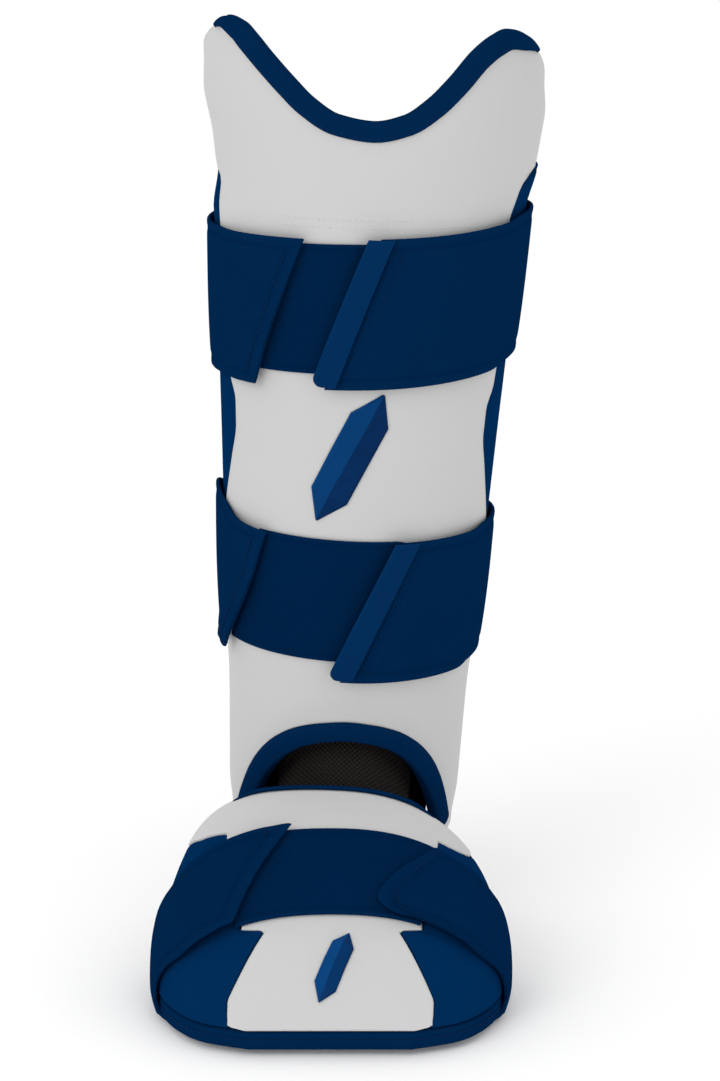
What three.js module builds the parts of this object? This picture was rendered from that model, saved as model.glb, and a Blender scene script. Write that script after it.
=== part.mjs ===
import * as THREE from 'three';

// Leg guard for a batter's shin and foot, in the form it has on a leg. Millimetres, +Z up, toe
// towards -Y, +X to the right. The origin is in the middle of the leg, between the two straps;
// heights below are counted from the ground.

// Shin part
const legHeight = 424;
const legWidth = 146.4;
const legDepth = 66;
const calfDepth = 62;
const legLean = 2.5;
const legBottom = 50;
const seatHeight = 236;
const padThickness = 6;
const padBack = 97;
const shellThickness = 2.8;
const wingThickness = 1.8;
const wingReach = 1;

// Foot part
const footWidth = 153;
const footLength = 97;
const footHeight = 83.2;
const footPadThickness = 5.5;
const footShellThickness = 2.2;
const footSideThickness = 1.8;
const sidePanelEnd = 72;
const footX = -11.6;
const toeFront = 155;
const rimTop = 12.5;
const rimBottom = 2.3;
const rimThickness = 6.6;
const footLeftShort = 2;
const footRightShort = 12;
const footShortFrom = 66;
const footLeftRound = 0.12;
const footRightRound = 0.32;

// Straps, tabs and bindings
const strapWidth = 66;
const strapThickness = 2;
const upperStrapHeight = 303.5;
const lowerStrapHeight = 168;
const landingThickness = 1.4;
const landingWidth = 57;
const landingReach = 42;
const upperLandingMiddle = 0.53;
const tabWidth = 10;
const tabThickness = 1.6;
const tapeWidth = 9;
const tapeThickness = 1.2;
const footStrapFront = 34;
const footStrapBack = 72;
const webThickness = 1.4;
const webReach = 44;
const webRise = 20;
const webTuck = 18;
const webDrop = 2;
const archTop = 106;
const footTapeWidth = 3;
const footTapeThickness = 1;
const upperStrapRise = 0.05;
const lowerStrapRise = 0;
const badgeLean = 24;
const shinBadgeLength = 64;
const shinBadgeWidth = 17;
const footBadgeLength = 30;
const footBadgeWidth = 9.5;
const badgeRise = 3.4;

// Clearance between layers that touch
const gap = 0.3;

// Distance of each layer outside the pad's outer face
const shellOut = gap + shellThickness;
const wingIn = gap + 0.15;
const landingIn = shellOut + gap;
const landingOut = landingIn + landingThickness;
const strapEndIn = landingOut + gap + 0.3;
const tabIn = strapEndIn + strapThickness + gap + 0.1;
const footIn = gap + 0.2;
const footShellOut = footIn + footShellThickness;
const footLandingIn = footShellOut + gap + 0.1;
const footLandingOut = footLandingIn + landingThickness;
const footStrapEndIn = footLandingOut + gap + 0.2;

// Sections of the leg: height as a share of legHeight, half width and front depth outside the pad
// as shares of legWidth / 2 and legDepth, back depth as a share of calfDepth
const legSections = [
  { at: 0.094, wide: 0.675, deep: 0.7, back: 0.74 },
  { at: 0.156, wide: 0.69, deep: 0.712, back: 0.75 },
  { at: 0.219, wide: 0.703, deep: 0.727, back: 0.76 },
  { at: 0.285, wide: 0.718, deep: 0.758, back: 0.78 },
  { at: 0.34, wide: 0.745, deep: 0.788, back: 0.81 },
  { at: 0.48, wide: 0.8, deep: 0.84, back: 0.87 },
  { at: 0.592, wide: 0.838, deep: 0.88, back: 0.93 },
  { at: 0.79, wide: 0.915, deep: 0.924, back: 1 },
  { at: 0.837, wide: 0.943, deep: 0.939, back: 1 },
  { at: 0.88, wide: 0.976, deep: 0.954, back: 1 },
  { at: 0.924, wide: 1, deep: 0.97, back: 1 },
  { at: 1, wide: 0.985, deep: 1, back: 1 },
];

// Levels of the shell between ankle arch and knee scoop: height as a share of legHeight, and the
// angle from the front at which the light shell ends on each side
const shellLevels = [
  { at: 0.288, side: 93 },
  { at: 0.36, side: 93 },
  { at: 0.42, side: 90 },
  { at: 0.446, side: 84 },
  { at: 0.47, side: 77 },
  { at: 0.505, side: 70 },
  { at: 0.542, side: 64 },
  { at: 0.58, side: 59.5 },
  { at: 0.605, side: 59.5 },
  { at: 0.632, side: 64 },
  { at: 0.7, side: 66 },
  { at: 0.77, side: 66 },
  { at: 0.805, side: 69 },
  { at: 0.828, side: 73 },
  { at: 0.834, side: 77 },
  { at: 0.839, side: 81 },
  { at: 0.844, side: 85 },
  { at: 0.849, side: 89 },
  { at: 0.857, side: 92 },
  { at: 0.875, side: 93 },
];

// Knee edge: angle from the front, height as a share of legHeight
const kneeEdge = [
  { at: -100, high: 0.94 },
  { at: -86, high: 0.97 },
  { at: -76, high: 0.983 },
  { at: -68, high: 0.992 },
  { at: -60, high: 1 },
  { at: -52, high: 0.996 },
  { at: -46, high: 0.986 },
  { at: -38, high: 0.968 },
  { at: -29, high: 0.946 },
  { at: -21.5, high: 0.928 },
  { at: -12, high: 0.913 },
  { at: 0, high: 0.908 },
  { at: 10, high: 0.915 },
  { at: 18.5, high: 0.932 },
  { at: 26, high: 0.953 },
  { at: 35.5, high: 0.981 },
  { at: 43, high: 0.994 },
  { at: 50, high: 1 },
  { at: 60, high: 0.993 },
  { at: 70, high: 0.98 },
  { at: 82, high: 0.962 },
  { at: 100, high: 0.925 },
];

// Ankle arch: angle from the front, share of the way from legBottom to the top of the arch
const archEdge = [
  { at: -10, high: 0.98 },
  { at: 0, high: 1 },
  { at: 10, high: 0.98 },
  { at: 20, high: 0.93 },
  { at: 30, high: 0.83 },
  { at: 38, high: 0.705 },
  { at: 46, high: 0.535 },
  { at: 53, high: 0.34 },
  { at: 60, high: 0.125 },
  { at: 65, high: 0 },
  { at: 100, high: 0 },
];

// Back edge of the side wings: height as a share of legHeight, angle beyond the side line
const wingEdge = [
  { at: 0.31, back: 20 },
  { at: 0.4, back: 27 },
  { at: 0.6, back: 27 },
  { at: 0.78, back: 28 },
  { at: 0.823, back: 20 },
  { at: 0.846, back: 10 },
];

// Sections of the foot cap: distance behind the toe as a share of footLength, half width and rise
// as shares, and how square the section is
const footSections = [
  { at: 0, wide: 0.444, rise: 0, square: 2.4 },
  { at: 0.026, wide: 0.55, rise: 0.064, square: 2.4 },
  { at: 0.072, wide: 0.7, rise: 0.149, square: 2.45 },
  { at: 0.144, wide: 0.81, rise: 0.262, square: 2.6 },
  { at: 0.268, wide: 0.915, rise: 0.417, square: 2.8 },
  { at: 0.381, wide: 0.965, rise: 0.52, square: 3 },
  { at: 0.515, wide: 0.99, rise: 0.65, square: 3.2 },
  { at: 0.67, wide: 1, rise: 0.775, square: 3.5 },
  { at: 0.773, wide: 0.99, rise: 0.861, square: 3.7 },
  { at: 0.897, wide: 0.965, rise: 0.94, square: 4 },
  { at: 1, wide: 0.93, rise: 1, square: 4.3 },
];

// Half width of the light panel between the side panels, as a share of footWidth / 2
const panelEdge = [
  { at: 0, half: 0.444 },
  { at: 0.026, half: 0.549 },
  { at: 0.072, half: 0.565 },
  { at: 0.12, half: 0.54 },
  { at: 0.3, half: 0.36 },
  { at: 0.45, half: 0.36 },
  { at: 0.62, half: 0.5 },
  { at: 0.74, half: 0.6 },
];

// Slanted strap ends: angles at the lower and upper edge of the strap
const upperEnds = { leftLow: -42, leftHigh: -21.8, rightLow: -13.8, rightHigh: 4.1 };
const lowerEnds = { leftLow: -67, leftHigh: -37, rightLow: -4, rightHigh: 18.8 };

// Slanted ends of the foot strap: shares of the way across the cap at its front and back edge
const footEnds = { leftLow: -0.36, leftHigh: -0.14, rightLow: 0.2, rightHigh: 0.42 };

// Half of the front of the leg where the columns of the shell stay upright
const frontAngle = 54;

const rad = THREE.MathUtils.degToRad;

function mix(a, b, t) {
  return a + (b - a) * t;
}

function ease(a, b, x) {
  const t = Math.min(1, Math.max(0, (x - a) / (b - a)));
  return t * t * (3 - 2 * t);
}

// Smooth curve through one column of a table, level at its highs and lows
function along(table, x, column) {
  const last = table.length - 1;
  if (x <= table[0].at) return table[0][column];
  if (x >= table[last].at) return table[last][column];
  let k = 0;
  while (x > table[k + 1].at) k += 1;
  const slope = (i) => (table[i + 1][column] - table[i][column]) / (table[i + 1].at - table[i].at);
  const bend = (i) => {
    if (i === 0) return slope(0);
    if (i === last) return slope(last - 1);
    const before = slope(i - 1);
    const after = slope(i);
    return before * after <= 0 ? 0 : (2 * before * after) / (before + after);
  };
  const span = table[k + 1].at - table[k].at;
  const t = (x - table[k].at) / span;
  const from = table[k][column];
  const to = table[k + 1][column];
  const start = bend(k) * span;
  const end = bend(k + 1) * span;
  const rise = to - from;
  return from + start * t + (3 * rise - 2 * start - end) * t * t
    + (start + end - 2 * rise) * t * t * t;
}

function spread(from, to, count) {
  return Array.from({ length: count + 1 }, (_, i) => mix(from, to, i / count));
}

// Point on the leg at an angle from the front and a height, standing off the pad's outer face
function legPoint(angle, height, out) {
  const share = height / legHeight;
  const turn = rad(angle);
  const front = along(legSections, share, 'deep') * legDepth;
  const back = along(legSections, share, 'back') * calfDepth;
  const deep = (Math.cos(turn) >= 0 ? front : back) + out;
  const across = (along(legSections, share, 'wide') * legWidth / 2 + out) * Math.sin(turn);
  const tip = rad(legLean);
  const rise = height - legBottom;
  return new THREE.Vector3(
    across * Math.cos(tip) + (height - seatHeight) * Math.sin(tip),
    -deep * Math.cos(turn),
    legBottom + rise * Math.cos(tip) - across * Math.sin(tip),
  );
}

// Millimetres round the leg for one degree
function legDegree(angle, height) {
  return legPoint(angle + 0.5, height, 0).distanceTo(legPoint(angle - 0.5, height, 0));
}

// Point on the foot cap. Side runs from -1 to 1 across the top, out to 2 down the side wall and
// to 3 at the middle of the sole; under the sole only the layer's own thickness counts. Towards
// its back edge the cap gets shorter and its shoulder rounder, most on the right.
function footPoint(side, level, out, soleOut = out) {
  const short = mix(footLeftShort, footRightShort, ease(-0.1, 0.8, side))
    * (1 - ease(2, 3, Math.abs(side)));
  const behind = level - short * ease(footShortFrom, footLength, level);
  const share = behind / footLength;
  const half = along(footSections, share, 'wide') * footWidth / 2;
  const round = (side > 0 ? footRightRound : footLeftRound) * ease(30, 90, behind);
  const square = along(footSections, share, 'square') * (1 - round);
  const toe = (1 - Math.min(1, share)) ** 2;
  const y = behind - toeFront - out * toe;
  const turn = Math.min(1, Math.abs(side));
  const sign = Math.sign(side);
  const across = Math.sin(rad(90 * turn));
  const full = (footHeight - rimTop) * along(footSections, share, 'rise')
    + out * ease(0, 0.25, share);
  let x = (half + out) * across;
  let z = rimTop + full * (1 - across ** square) ** (1 / 2.2);
  if (Math.abs(side) > 1) {
    const down = Math.min(1, Math.abs(side) - 1);
    const floor = rimBottom - soleOut;
    const corner = Math.min(4, (rimTop - floor) / 2);
    const arc = rad(90 * ease(0.4, 1, down));
    z = down < 0.4 ? mix(rimTop, floor + corner, down / 0.4) : floor + corner * (1 - Math.sin(arc));
    x = half + out - (down < 0.4 ? 0 : corner * (1 - Math.cos(arc)));
    if (Math.abs(side) > 2) x *= 3 - Math.abs(side);
  }
  return new THREE.Vector3(footX + sign * x, y, z);
}

// Side value at a distance across the cap
function footSide(x, behind) {
  const half = along(footSections, behind / footLength, 'wide') * footWidth / 2;
  return Math.asin(Math.min(1, Math.max(-1, x / half))) * 2 / Math.PI;
}

const guard = new THREE.Group();
guard.name = 'leg_guard';

function addPiece(name, colour, positions, faces) {
  const geometry = new THREE.BufferGeometry();
  const used = [...new Set(faces.flat())].sort((a, b) => a - b);
  const number = new Map(used.map((old, i) => [old, i]));
  const flat = used.flatMap((i) => [positions[i].x, positions[i].y, positions[i].z - seatHeight]);
  geometry.setAttribute('position', new THREE.Float32BufferAttribute(flat, 3));
  const at = (i) => positions[i];
  const size = faces.reduce((sum, [a, b, c]) => (
    sum + at(a).dot(new THREE.Vector3().crossVectors(at(b), at(c)))
  ), 0);
  const ordered = faces.flatMap(([a, b, c]) => (size > 0 ? [a, b, c] : [a, c, b]));
  geometry.setIndex(ordered.map((i) => number.get(i)));
  geometry.computeVertexNormals();
  const mesh = new THREE.Mesh(geometry, new THREE.MeshStandardMaterial({ color: colour }));
  mesh.name = name;
  guard.add(mesh);
}

// Closed slab between two grids; each spot of the grid holds its outer and inner point. A cell that
// isn't filled leaves a notch in the slab.
function addSlab(name, colour, rows, filled = () => true) {
  const high = rows.length;
  const wide = rows[0].length;
  const positions = [];
  rows.forEach((row) => row.forEach((cell) => positions.push(cell[0])));
  rows.forEach((row) => row.forEach((cell) => positions.push(cell[1])));
  const outer = (r, c) => r * wide + c;
  const inner = (r, c) => high * wide + outer(r, c);
  const faces = [];
  const quad = (a, b, c, d) => faces.push([a, b, c], [a, c, d]);
  const has = (r, c) => r >= 0 && c >= 0 && r < high - 1 && c < wide - 1 && filled(r, c);
  for (let r = 0; r < high - 1; r += 1) {
    for (let c = 0; c < wide - 1; c += 1) {
      if (has(r, c)) {
        quad(outer(r, c), outer(r, c + 1), outer(r + 1, c + 1), outer(r + 1, c));
        quad(inner(r, c), inner(r + 1, c), inner(r + 1, c + 1), inner(r, c + 1));
        if (!has(r, c - 1)) quad(outer(r, c), outer(r + 1, c), inner(r + 1, c), inner(r, c));
        if (!has(r, c + 1)) {
          quad(outer(r, c + 1), inner(r, c + 1), inner(r + 1, c + 1), outer(r + 1, c + 1));
        }
        if (!has(r - 1, c)) quad(outer(r, c), inner(r, c), inner(r, c + 1), outer(r, c + 1));
        if (!has(r + 1, c)) {
          quad(outer(r + 1, c), outer(r + 1, c + 1), inner(r + 1, c + 1), inner(r + 1, c));
        }
      }
    }
  }
  addPiece(name, colour, positions, faces);
}

// Colours
const lightGrey = '#c9c9c9';
const navy = '#08264a';
const darkNavy = '#071f3f';
const sideNavy = '#0b315c';
const badgeNavy = '#0d4a86';
const webBlack = '#1d1b1a';

const kneeHeight = (angle) => along(kneeEdge, angle, 'high') * legHeight;
const archHeight = (angle) => mix(legBottom, archTop, along(archEdge, Math.abs(angle), 'high'));

// Rows of a wall of the leg from the arch to the knee, level between the first and last level.
// Columns beyond the front angles close up towards the side angle of each level.
function legRows(angles, levels, inAt, outAt) {
  const reach = angles[angles.length - 1];
  const first = levels[0].at * legHeight;
  const last = levels[levels.length - 1].at * legHeight;
  const row = (height, side) => angles.map((full) => {
    const beyond = Math.max(0, Math.abs(full) - frontAngle) / (reach - frontAngle);
    const narrow = Math.sign(full) * mix(frontAngle, side, beyond);
    const angle = beyond > 0 ? narrow : full;
    const high = height(full);
    return [legPoint(angle, high, outAt), legPoint(angle, high, inAt)];
  });
  return [
    ...[0, 0.5].map((t) => row((a) => mix(archHeight(a), first, t), levels[0].side)),
    ...levels.map((level) => row(() => level.at * legHeight, level.side)),
    ...[0.5, 1].map((t) => (
      row((a) => mix(last, kneeHeight(a), t), levels[levels.length - 1].side)
    )),
  ];
}

// Shin pad and light shell
const padLevels = [0.288, 0.38, 0.48, 0.592, 0.7, 0.79, 0.837, 0.875];
const shellSide = shellLevels[0].side;
const sideAngles = spread(frontAngle, shellSide, 5).slice(1);
const shellAngles = [
  ...sideAngles.map((angle) => -angle).reverse(),
  ...spread(-frontAngle, frontAngle, 14),
  ...sideAngles,
];
addSlab('shin_pad', navy, legRows(
  [-padBack, ...shellAngles, padBack],
  padLevels.map((at) => ({ at, side: padBack })),
  -padThickness,
  0,
));
addSlab('shin_shell', lightGrey, legRows(shellAngles, shellLevels, gap, shellOut));

// Side wings from the edge of the light shell to behind the leg
for (const [name, sign] of [['side_wing_left', -1], ['side_wing_right', 1]]) {
  const levels = shellLevels.filter((level) => level.at > 0.3 && level.at < 0.85);
  const rows = levels.map((level) => {
    const high = level.at * legHeight;
    const back = 90 + along(wingEdge, level.at, 'back') * wingReach;
    return spread(level.side + 0.5, back, 6).map((angle) => (
      [legPoint(sign * angle, high, wingIn + wingThickness), legPoint(sign * angle, high, wingIn)]
    ));
  });
  addSlab(name, sideNavy, rows);
}

// Binding tape folded over an edge of the leg wall; inward is -1 below a top edge, 1 above an arch
function addTape(name, edge, angles, inward) {
  const normal = (i) => {
    if (i < 0 || i > angles.length - 2) return null;
    const middle = (angles[i] + angles[i + 1]) / 2;
    const run = (angles[i + 1] - angles[i]) * legDegree(middle, edge(middle));
    const climb = edge(angles[i + 1]) - edge(angles[i]);
    const length = Math.hypot(run, climb) * inward;
    return [-climb / length, run / length];
  };
  const place = (i, out, inset) => {
    const before = normal(i - 1) ?? normal(i);
    const after = normal(i) ?? before;
    const scale = inset / (1 + before[0] * after[0] + before[1] * after[1]);
    const degree = legDegree(angles[i], edge(angles[i]));
    const across = (before[0] + after[0]) * scale / degree;
    return legPoint(angles[i] + across, edge(angles[i]) + (before[1] + after[1]) * scale, out);
  };
  const fold = inward > 0 ? 2.6 * gap : 2 * gap;
  const front = shellOut + fold;
  const back = -padThickness - fold;
  const stations = [
    [[front + tapeThickness, tapeWidth], [front, tapeWidth]],
    [[front + tapeThickness, -fold - tapeThickness], [front, -fold]],
    [[back - tapeThickness, -fold - tapeThickness], [back, -fold]],
    [[back - tapeThickness, tapeWidth * 0.8], [back, tapeWidth * 0.8]],
  ];
  addSlab(name, navy, stations.map(([outer, inner]) => angles.map((_, i) => (
    [place(i, ...outer), place(i, ...inner)]
  ))));
}
const archAngles = shellAngles.filter((angle) => Math.abs(angle) < 62);
addTape('knee_binding', kneeHeight, [-padBack, ...shellAngles, padBack], -1);
addTape('arch_binding', archHeight, archAngles, 1);

// A strap round the leg with its landing patch and pull tab
function addStrap(prefix, middle, tilt, ends) {
  const level = (angle, share) => (
    middle + (share - 0.5) * strapWidth + tilt * Math.sin(rad(angle)) * legWidth / 2
  );
  const shares = [0, 0.33, 0.66, 1];
  const patch = spread(-landingReach, landingReach, 14);
  const half = landingWidth / strapWidth / 2;
  const landingShares = prefix === 'upper'
    ? [upperLandingMiddle - half, upperLandingMiddle, upperLandingMiddle + half]
    : [1 - 2 * half, 0.6, 1];
  addSlab(`${prefix}_landing`, darkNavy, landingShares.map((share) => patch.map((angle) => {
    const high = level(angle, share);
    return [legPoint(angle, high, landingOut), legPoint(angle, high, landingIn)];
  })));
  const stand = (angle) => {
    const side = Math.abs(((angle + 180) % 360) - 180);
    return mix(strapEndIn, landingIn, ease(landingReach + 10, landingReach + 24, side));
  };
  addSlab(`${prefix}_strap`, darkNavy, shares.map((share) => {
    const start = mix(ends.rightLow, ends.rightHigh, share);
    const end = 360 + mix(ends.leftLow, ends.leftHigh, share);
    const straight = ends.rightHigh + 12;
    const slant = 352 + ends.leftLow;
    const columns = [
      ...spread(start, straight, 5),
      ...spread(straight, 112, 14).slice(1),
      ...spread(112, 248, 6).slice(1),
      ...spread(248, slant, 6).slice(1),
      ...spread(slant, end, 6).slice(1),
    ];
    return columns.map((angle) => {
      const high = level(angle, share);
      const inAt = stand(angle);
      return [legPoint(angle, high, inAt + strapThickness), legPoint(angle, high, inAt)];
    });
  }));
  addSlab(`${prefix}_tab`, sideNavy, shares.map((share) => {
    const middleAngle = mix(ends.rightLow, ends.rightHigh, share);
    const high = level(middleAngle, share);
    const half = tabWidth / 2 / legDegree(middleAngle, high);
    return spread(middleAngle - half, middleAngle + half, 3).map((angle) => (
      [legPoint(angle, high, tabIn + tabThickness), legPoint(angle, high, tabIn)]
    ));
  }));
}
addStrap('upper', upperStrapHeight, upperStrapRise, upperEnds);
addStrap('lower', lowerStrapHeight, lowerStrapRise, lowerEnds);

// Faceted badge: a long leaning bar, pointed at both ends, with a ridge along its middle
const badgeOutline = [
  { at: -0.5, half: 0.03, rise: 0.25 },
  { at: -0.3, half: 0.5, rise: 0.8 },
  { at: -0.15, half: 0.5, rise: 1 },
  { at: 0, half: 0.5, rise: 1 },
  { at: 0.15, half: 0.5, rise: 1 },
  { at: 0.3, half: 0.5, rise: 0.8 },
  { at: 0.5, half: 0.03, rise: 0.25 },
];
function addBadge(name, length, width, place) {
  const turn = rad(badgeLean);
  const spot = (u, v, out) => place(
    u * Math.cos(turn) + v * Math.sin(turn),
    v * Math.cos(turn) - u * Math.sin(turn),
    out,
  );
  addSlab(name, badgeNavy, badgeOutline.map((row) => [-1, 0, 1].map((share) => {
    const across = share * row.half * width;
    const crest = badgeRise * row.rise * mix(1, 0.3, Math.abs(share));
    return [spot(across, row.at * length, crest), spot(across, row.at * length, 0)];
  })));
}
const shinBadgeHeight = (upperStrapHeight + lowerStrapHeight) / 2 + 3;
addBadge('shin_badge', shinBadgeLength, shinBadgeWidth, (u, v, out) => (
  legPoint(
    -4 + u / legDegree(0, shinBadgeHeight),
    shinBadgeHeight + v,
    landingIn + 0.1 + out,
  )
));

// Foot pad and the light and navy panels that cover it
const sectionRows = footSections.map((section) => section.at * footLength);
const footRows = [...sectionRows, sidePanelEnd].sort((a, b) => a - b);
const flankSides = spread(0.5, 1, 8);
const footColumns = [
  ...flankSides.map((side) => -side).reverse(),
  ...spread(-0.5, 0.5, 10).slice(1, -1),
  ...flankSides,
];
addSlab('foot_pad', navy, footRows.map((behind) => footColumns.map((side) => (
  [footPoint(side, behind, 0), footPoint(side, behind, -footPadThickness)]
))));
const panelSide = (behind) => {
  const half = along(panelEdge, behind / footLength, 'half') * footWidth / 2;
  return footSide(half, behind);
};
const flankColumns = (start) => (
  start < 0.49 ? [start, mix(start, 0.5, 0.5), ...flankSides] : spread(start, 1, 10)
);

// The light panel lies between the side panels and runs out to both sides behind them
const flareRow = footRows.indexOf(sidePanelEnd);
const shellRows = footRows.map((behind) => {
  const edge = panelSide(behind);
  const flank = flankColumns(edge).slice(1);
  const columns = [...flank.map((side) => -side).reverse(), ...spread(-edge, edge, 12), ...flank];
  const row = behind === sidePanelEnd ? behind + gap : behind;
  return columns.map((side) => [footPoint(side, row, footShellOut), footPoint(side, row, footIn)]);
});
const shellSpare = (shellRows[0].length - 13) / 2;
addSlab('foot_shell', lightGrey, shellRows, (r, c) => (
  r >= flareRow || (c >= shellSpare && c < shellSpare + 12)
));
const footSideOut = footIn + footSideThickness;
const sideRows = footRows.slice(1).filter((behind) => behind <= sidePanelEnd);
for (const [name, sign] of [['foot_side_left', -1], ['foot_side_right', 1]]) {
  addSlab(name, sideNavy, sideRows.map((behind) => (
    flankColumns(panelSide(behind) + 0.008).map((side) => (
      [footPoint(sign * side, behind, footSideOut), footPoint(sign * side, behind, footIn)]
    ))
  )));
}

// Binding along the lower edge of the cap, from one heel side round the toe to the other
const rimPath = [
  ...footRows.slice(1).reverse().map((behind) => [-1, behind]),
  ...spread(-1, 1, 6).map((side) => [side, 0]),
  ...footRows.slice(1).map((behind) => [1, behind]),
];
const rimLevels = [
  { high: rimTop - gap, out: rimThickness * 0.25 },
  { high: mix(rimTop, rimBottom, 0.5), out: rimThickness * 0.3 },
  { high: mix(rimTop, rimBottom, 0.85), out: rimThickness * 0.24 },
  { high: rimBottom, out: -rimThickness * 0.1 },
];
addSlab('foot_rim', navy, rimLevels.map(({ high, out }) => rimPath.map(([side, behind]) => {
  const level = (reach) => {
    const point = footPoint(side, behind, reach);
    return new THREE.Vector3(point.x, point.y, high);
  };
  return [level(out), level(-rimThickness * 0.8)];
})));

// Thin binding on the edge of the cap at the instep
const tapeOver = footLandingIn + 0.1;
const tapeUnder = -footPadThickness - gap;
const footTapeRows = [
  [[tapeOver + footTapeThickness, -footTapeWidth], [tapeOver, -footTapeWidth]],
  [[tapeOver + footTapeThickness, gap + footTapeThickness], [tapeOver, gap]],
  [[tapeUnder - footTapeThickness, gap + footTapeThickness], [tapeUnder, gap]],
  [[tapeUnder - footTapeThickness, -footTapeWidth], [tapeUnder, -footTapeWidth]],
];
const footTapePoint = (side, [out, past]) => footPoint(side, footLength + past, out);
addSlab('foot_top_binding', navy, footTapeRows.map(([outer, inner]) => (
  footColumns.map((side) => [footTapePoint(side, outer), footTapePoint(side, inner)])
)));

// Landing band across the cap
const bandCurve = (side) => 5 * Math.sin(rad(90 * Math.min(1, Math.abs(side)))) ** 2;
const bandShares = [0, 0.33, 0.66, 1];
const bandSides = spread(-0.5, 0.5, 10).slice(1, -1);
addSlab('foot_landing', darkNavy, bandShares.map((share) => bandSides.map((side) => {
  const behind = mix(footStrapFront, footStrapBack, share) - 2 * bandCurve(side);
  return [footPoint(side, behind, footLandingOut), footPoint(side, behind, footLandingIn)];
})));

// Foot strap: over the landing band, down both sides and under the sole
addSlab('foot_strap', darkNavy, bandShares.map((share) => {
  const start = mix(footEnds.rightLow, footEnds.rightHigh, share);
  const end = -mix(footEnds.leftLow, footEnds.leftHigh, share);
  const sides = [
    ...spread(start, 1, 10),
    ...spread(1, 2, 6).slice(1),
    2.5,
    3,
    -2.5,
    ...spread(-2, -1, 6),
    ...spread(-1, -end, 10).slice(1),
  ];
  return sides.map((side) => {
    const top = Math.min(1, Math.abs(side));
    const drop = mix(2 * bandCurve(side), 0, ease(0.5, 1, top));
    const behind = mix(footStrapFront, footStrapBack, share) - drop;
    const stand = mix(footStrapEndIn, footLandingIn, ease(0.54, 0.7, top));
    return [
      footPoint(side, behind, stand + strapThickness, gap + strapThickness),
      footPoint(side, behind, stand, gap),
    ];
  });
}));
addBadge('foot_badge', footBadgeLength, footBadgeWidth, (u, v, out) => {
  const behind = footStrapFront * 0.48 + v * 0.72;
  return footPoint(footSide(u + 1, behind), behind, footShellOut + gap + 0.1 + out);
});

// Woven web from inside the arch to under the cap: up the leg as a share of webRise, behind the
// cap's edge as a share of webTuck, below the pad as a share of webDrop, and from leg to foot
const webRows = [
  { leg: 1, foot: 0, drop: 1, blend: 0 },
  { leg: 0.4, foot: 0, drop: 1, blend: 0 },
  { leg: -0.2, foot: 0, drop: 1, blend: 0 },
  { leg: -0.3, foot: 0.22, drop: 1.1, blend: 0.5 },
  { leg: 0, foot: 0.22, drop: 1, blend: 1 },
  { leg: 0, foot: -0.25, drop: 0.95, blend: 1 },
  { leg: 0, foot: -0.44, drop: 0.25, blend: 1 },
  { leg: 0, foot: -1, drop: 0.25, blend: 1 },
];
const webAngles = spread(-webReach, webReach, 8);
addSlab('ankle_webbing', webBlack, webRows.map((row) => webAngles.map((angle) => {
  const spot = (out) => {
    const inLeg = -padThickness - 2.4 * tapeThickness - out;
    const onLeg = legPoint(angle, archHeight(angle) + row.leg * webRise, inLeg);
    const behind = footLength + row.foot * webTuck;
    const under = -footPadThickness - row.drop * webDrop - out;
    return onLeg.lerp(footPoint(footSide(onLeg.x - footX, behind), behind, under), row.blend);
  };
  return [spot(0), spot(webThickness)];
})));

export default guard;
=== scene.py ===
"""Leg guard for a batter's shin and foot, dressed in cloth, coated shell and stitching."""

import math

import bpy
import numpy as np
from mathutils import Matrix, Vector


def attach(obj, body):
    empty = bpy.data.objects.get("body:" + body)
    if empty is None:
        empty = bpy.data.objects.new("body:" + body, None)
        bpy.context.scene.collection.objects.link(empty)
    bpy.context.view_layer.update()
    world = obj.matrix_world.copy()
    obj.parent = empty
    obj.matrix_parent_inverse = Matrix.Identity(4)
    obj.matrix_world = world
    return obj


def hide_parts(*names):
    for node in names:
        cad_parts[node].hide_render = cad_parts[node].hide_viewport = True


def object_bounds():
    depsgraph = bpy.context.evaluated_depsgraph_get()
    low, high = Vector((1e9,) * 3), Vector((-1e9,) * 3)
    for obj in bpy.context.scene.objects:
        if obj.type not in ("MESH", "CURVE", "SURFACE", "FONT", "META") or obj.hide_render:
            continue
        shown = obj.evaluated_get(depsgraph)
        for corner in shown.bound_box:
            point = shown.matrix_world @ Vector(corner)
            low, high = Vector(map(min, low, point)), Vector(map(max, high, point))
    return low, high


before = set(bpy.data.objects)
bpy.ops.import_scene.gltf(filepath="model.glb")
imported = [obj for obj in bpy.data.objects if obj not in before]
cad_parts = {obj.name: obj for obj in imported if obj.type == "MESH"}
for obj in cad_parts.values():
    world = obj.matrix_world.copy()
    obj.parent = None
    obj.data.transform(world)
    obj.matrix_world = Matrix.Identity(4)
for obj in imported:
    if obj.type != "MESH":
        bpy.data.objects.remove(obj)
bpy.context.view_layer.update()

# Lengths are millimetres here and become metres when a mesh is made
METRE = 0.001
FAR_FROM_EDGE = 50.0

# Shin part
LEG_HEIGHT = 424
LEG_WIDTH = 146.4
LEG_DEPTH = 66
CALF_DEPTH = 62
LEG_LEAN = 2.5
LEG_BOTTOM = 50
SEAT_HEIGHT = 236
ARCH_TOP = 106
PAD_THICKNESS = 6
PAD_EDGE = 1.2
SHELL_EDGE_THICKNESS = 1.5
PAD_BACK = 97
SHELL_SIDE = 93
SHELL_THICKNESS = 2.8
WING_THICKNESS = 1.8
FRONT_ANGLE = 54

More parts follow.
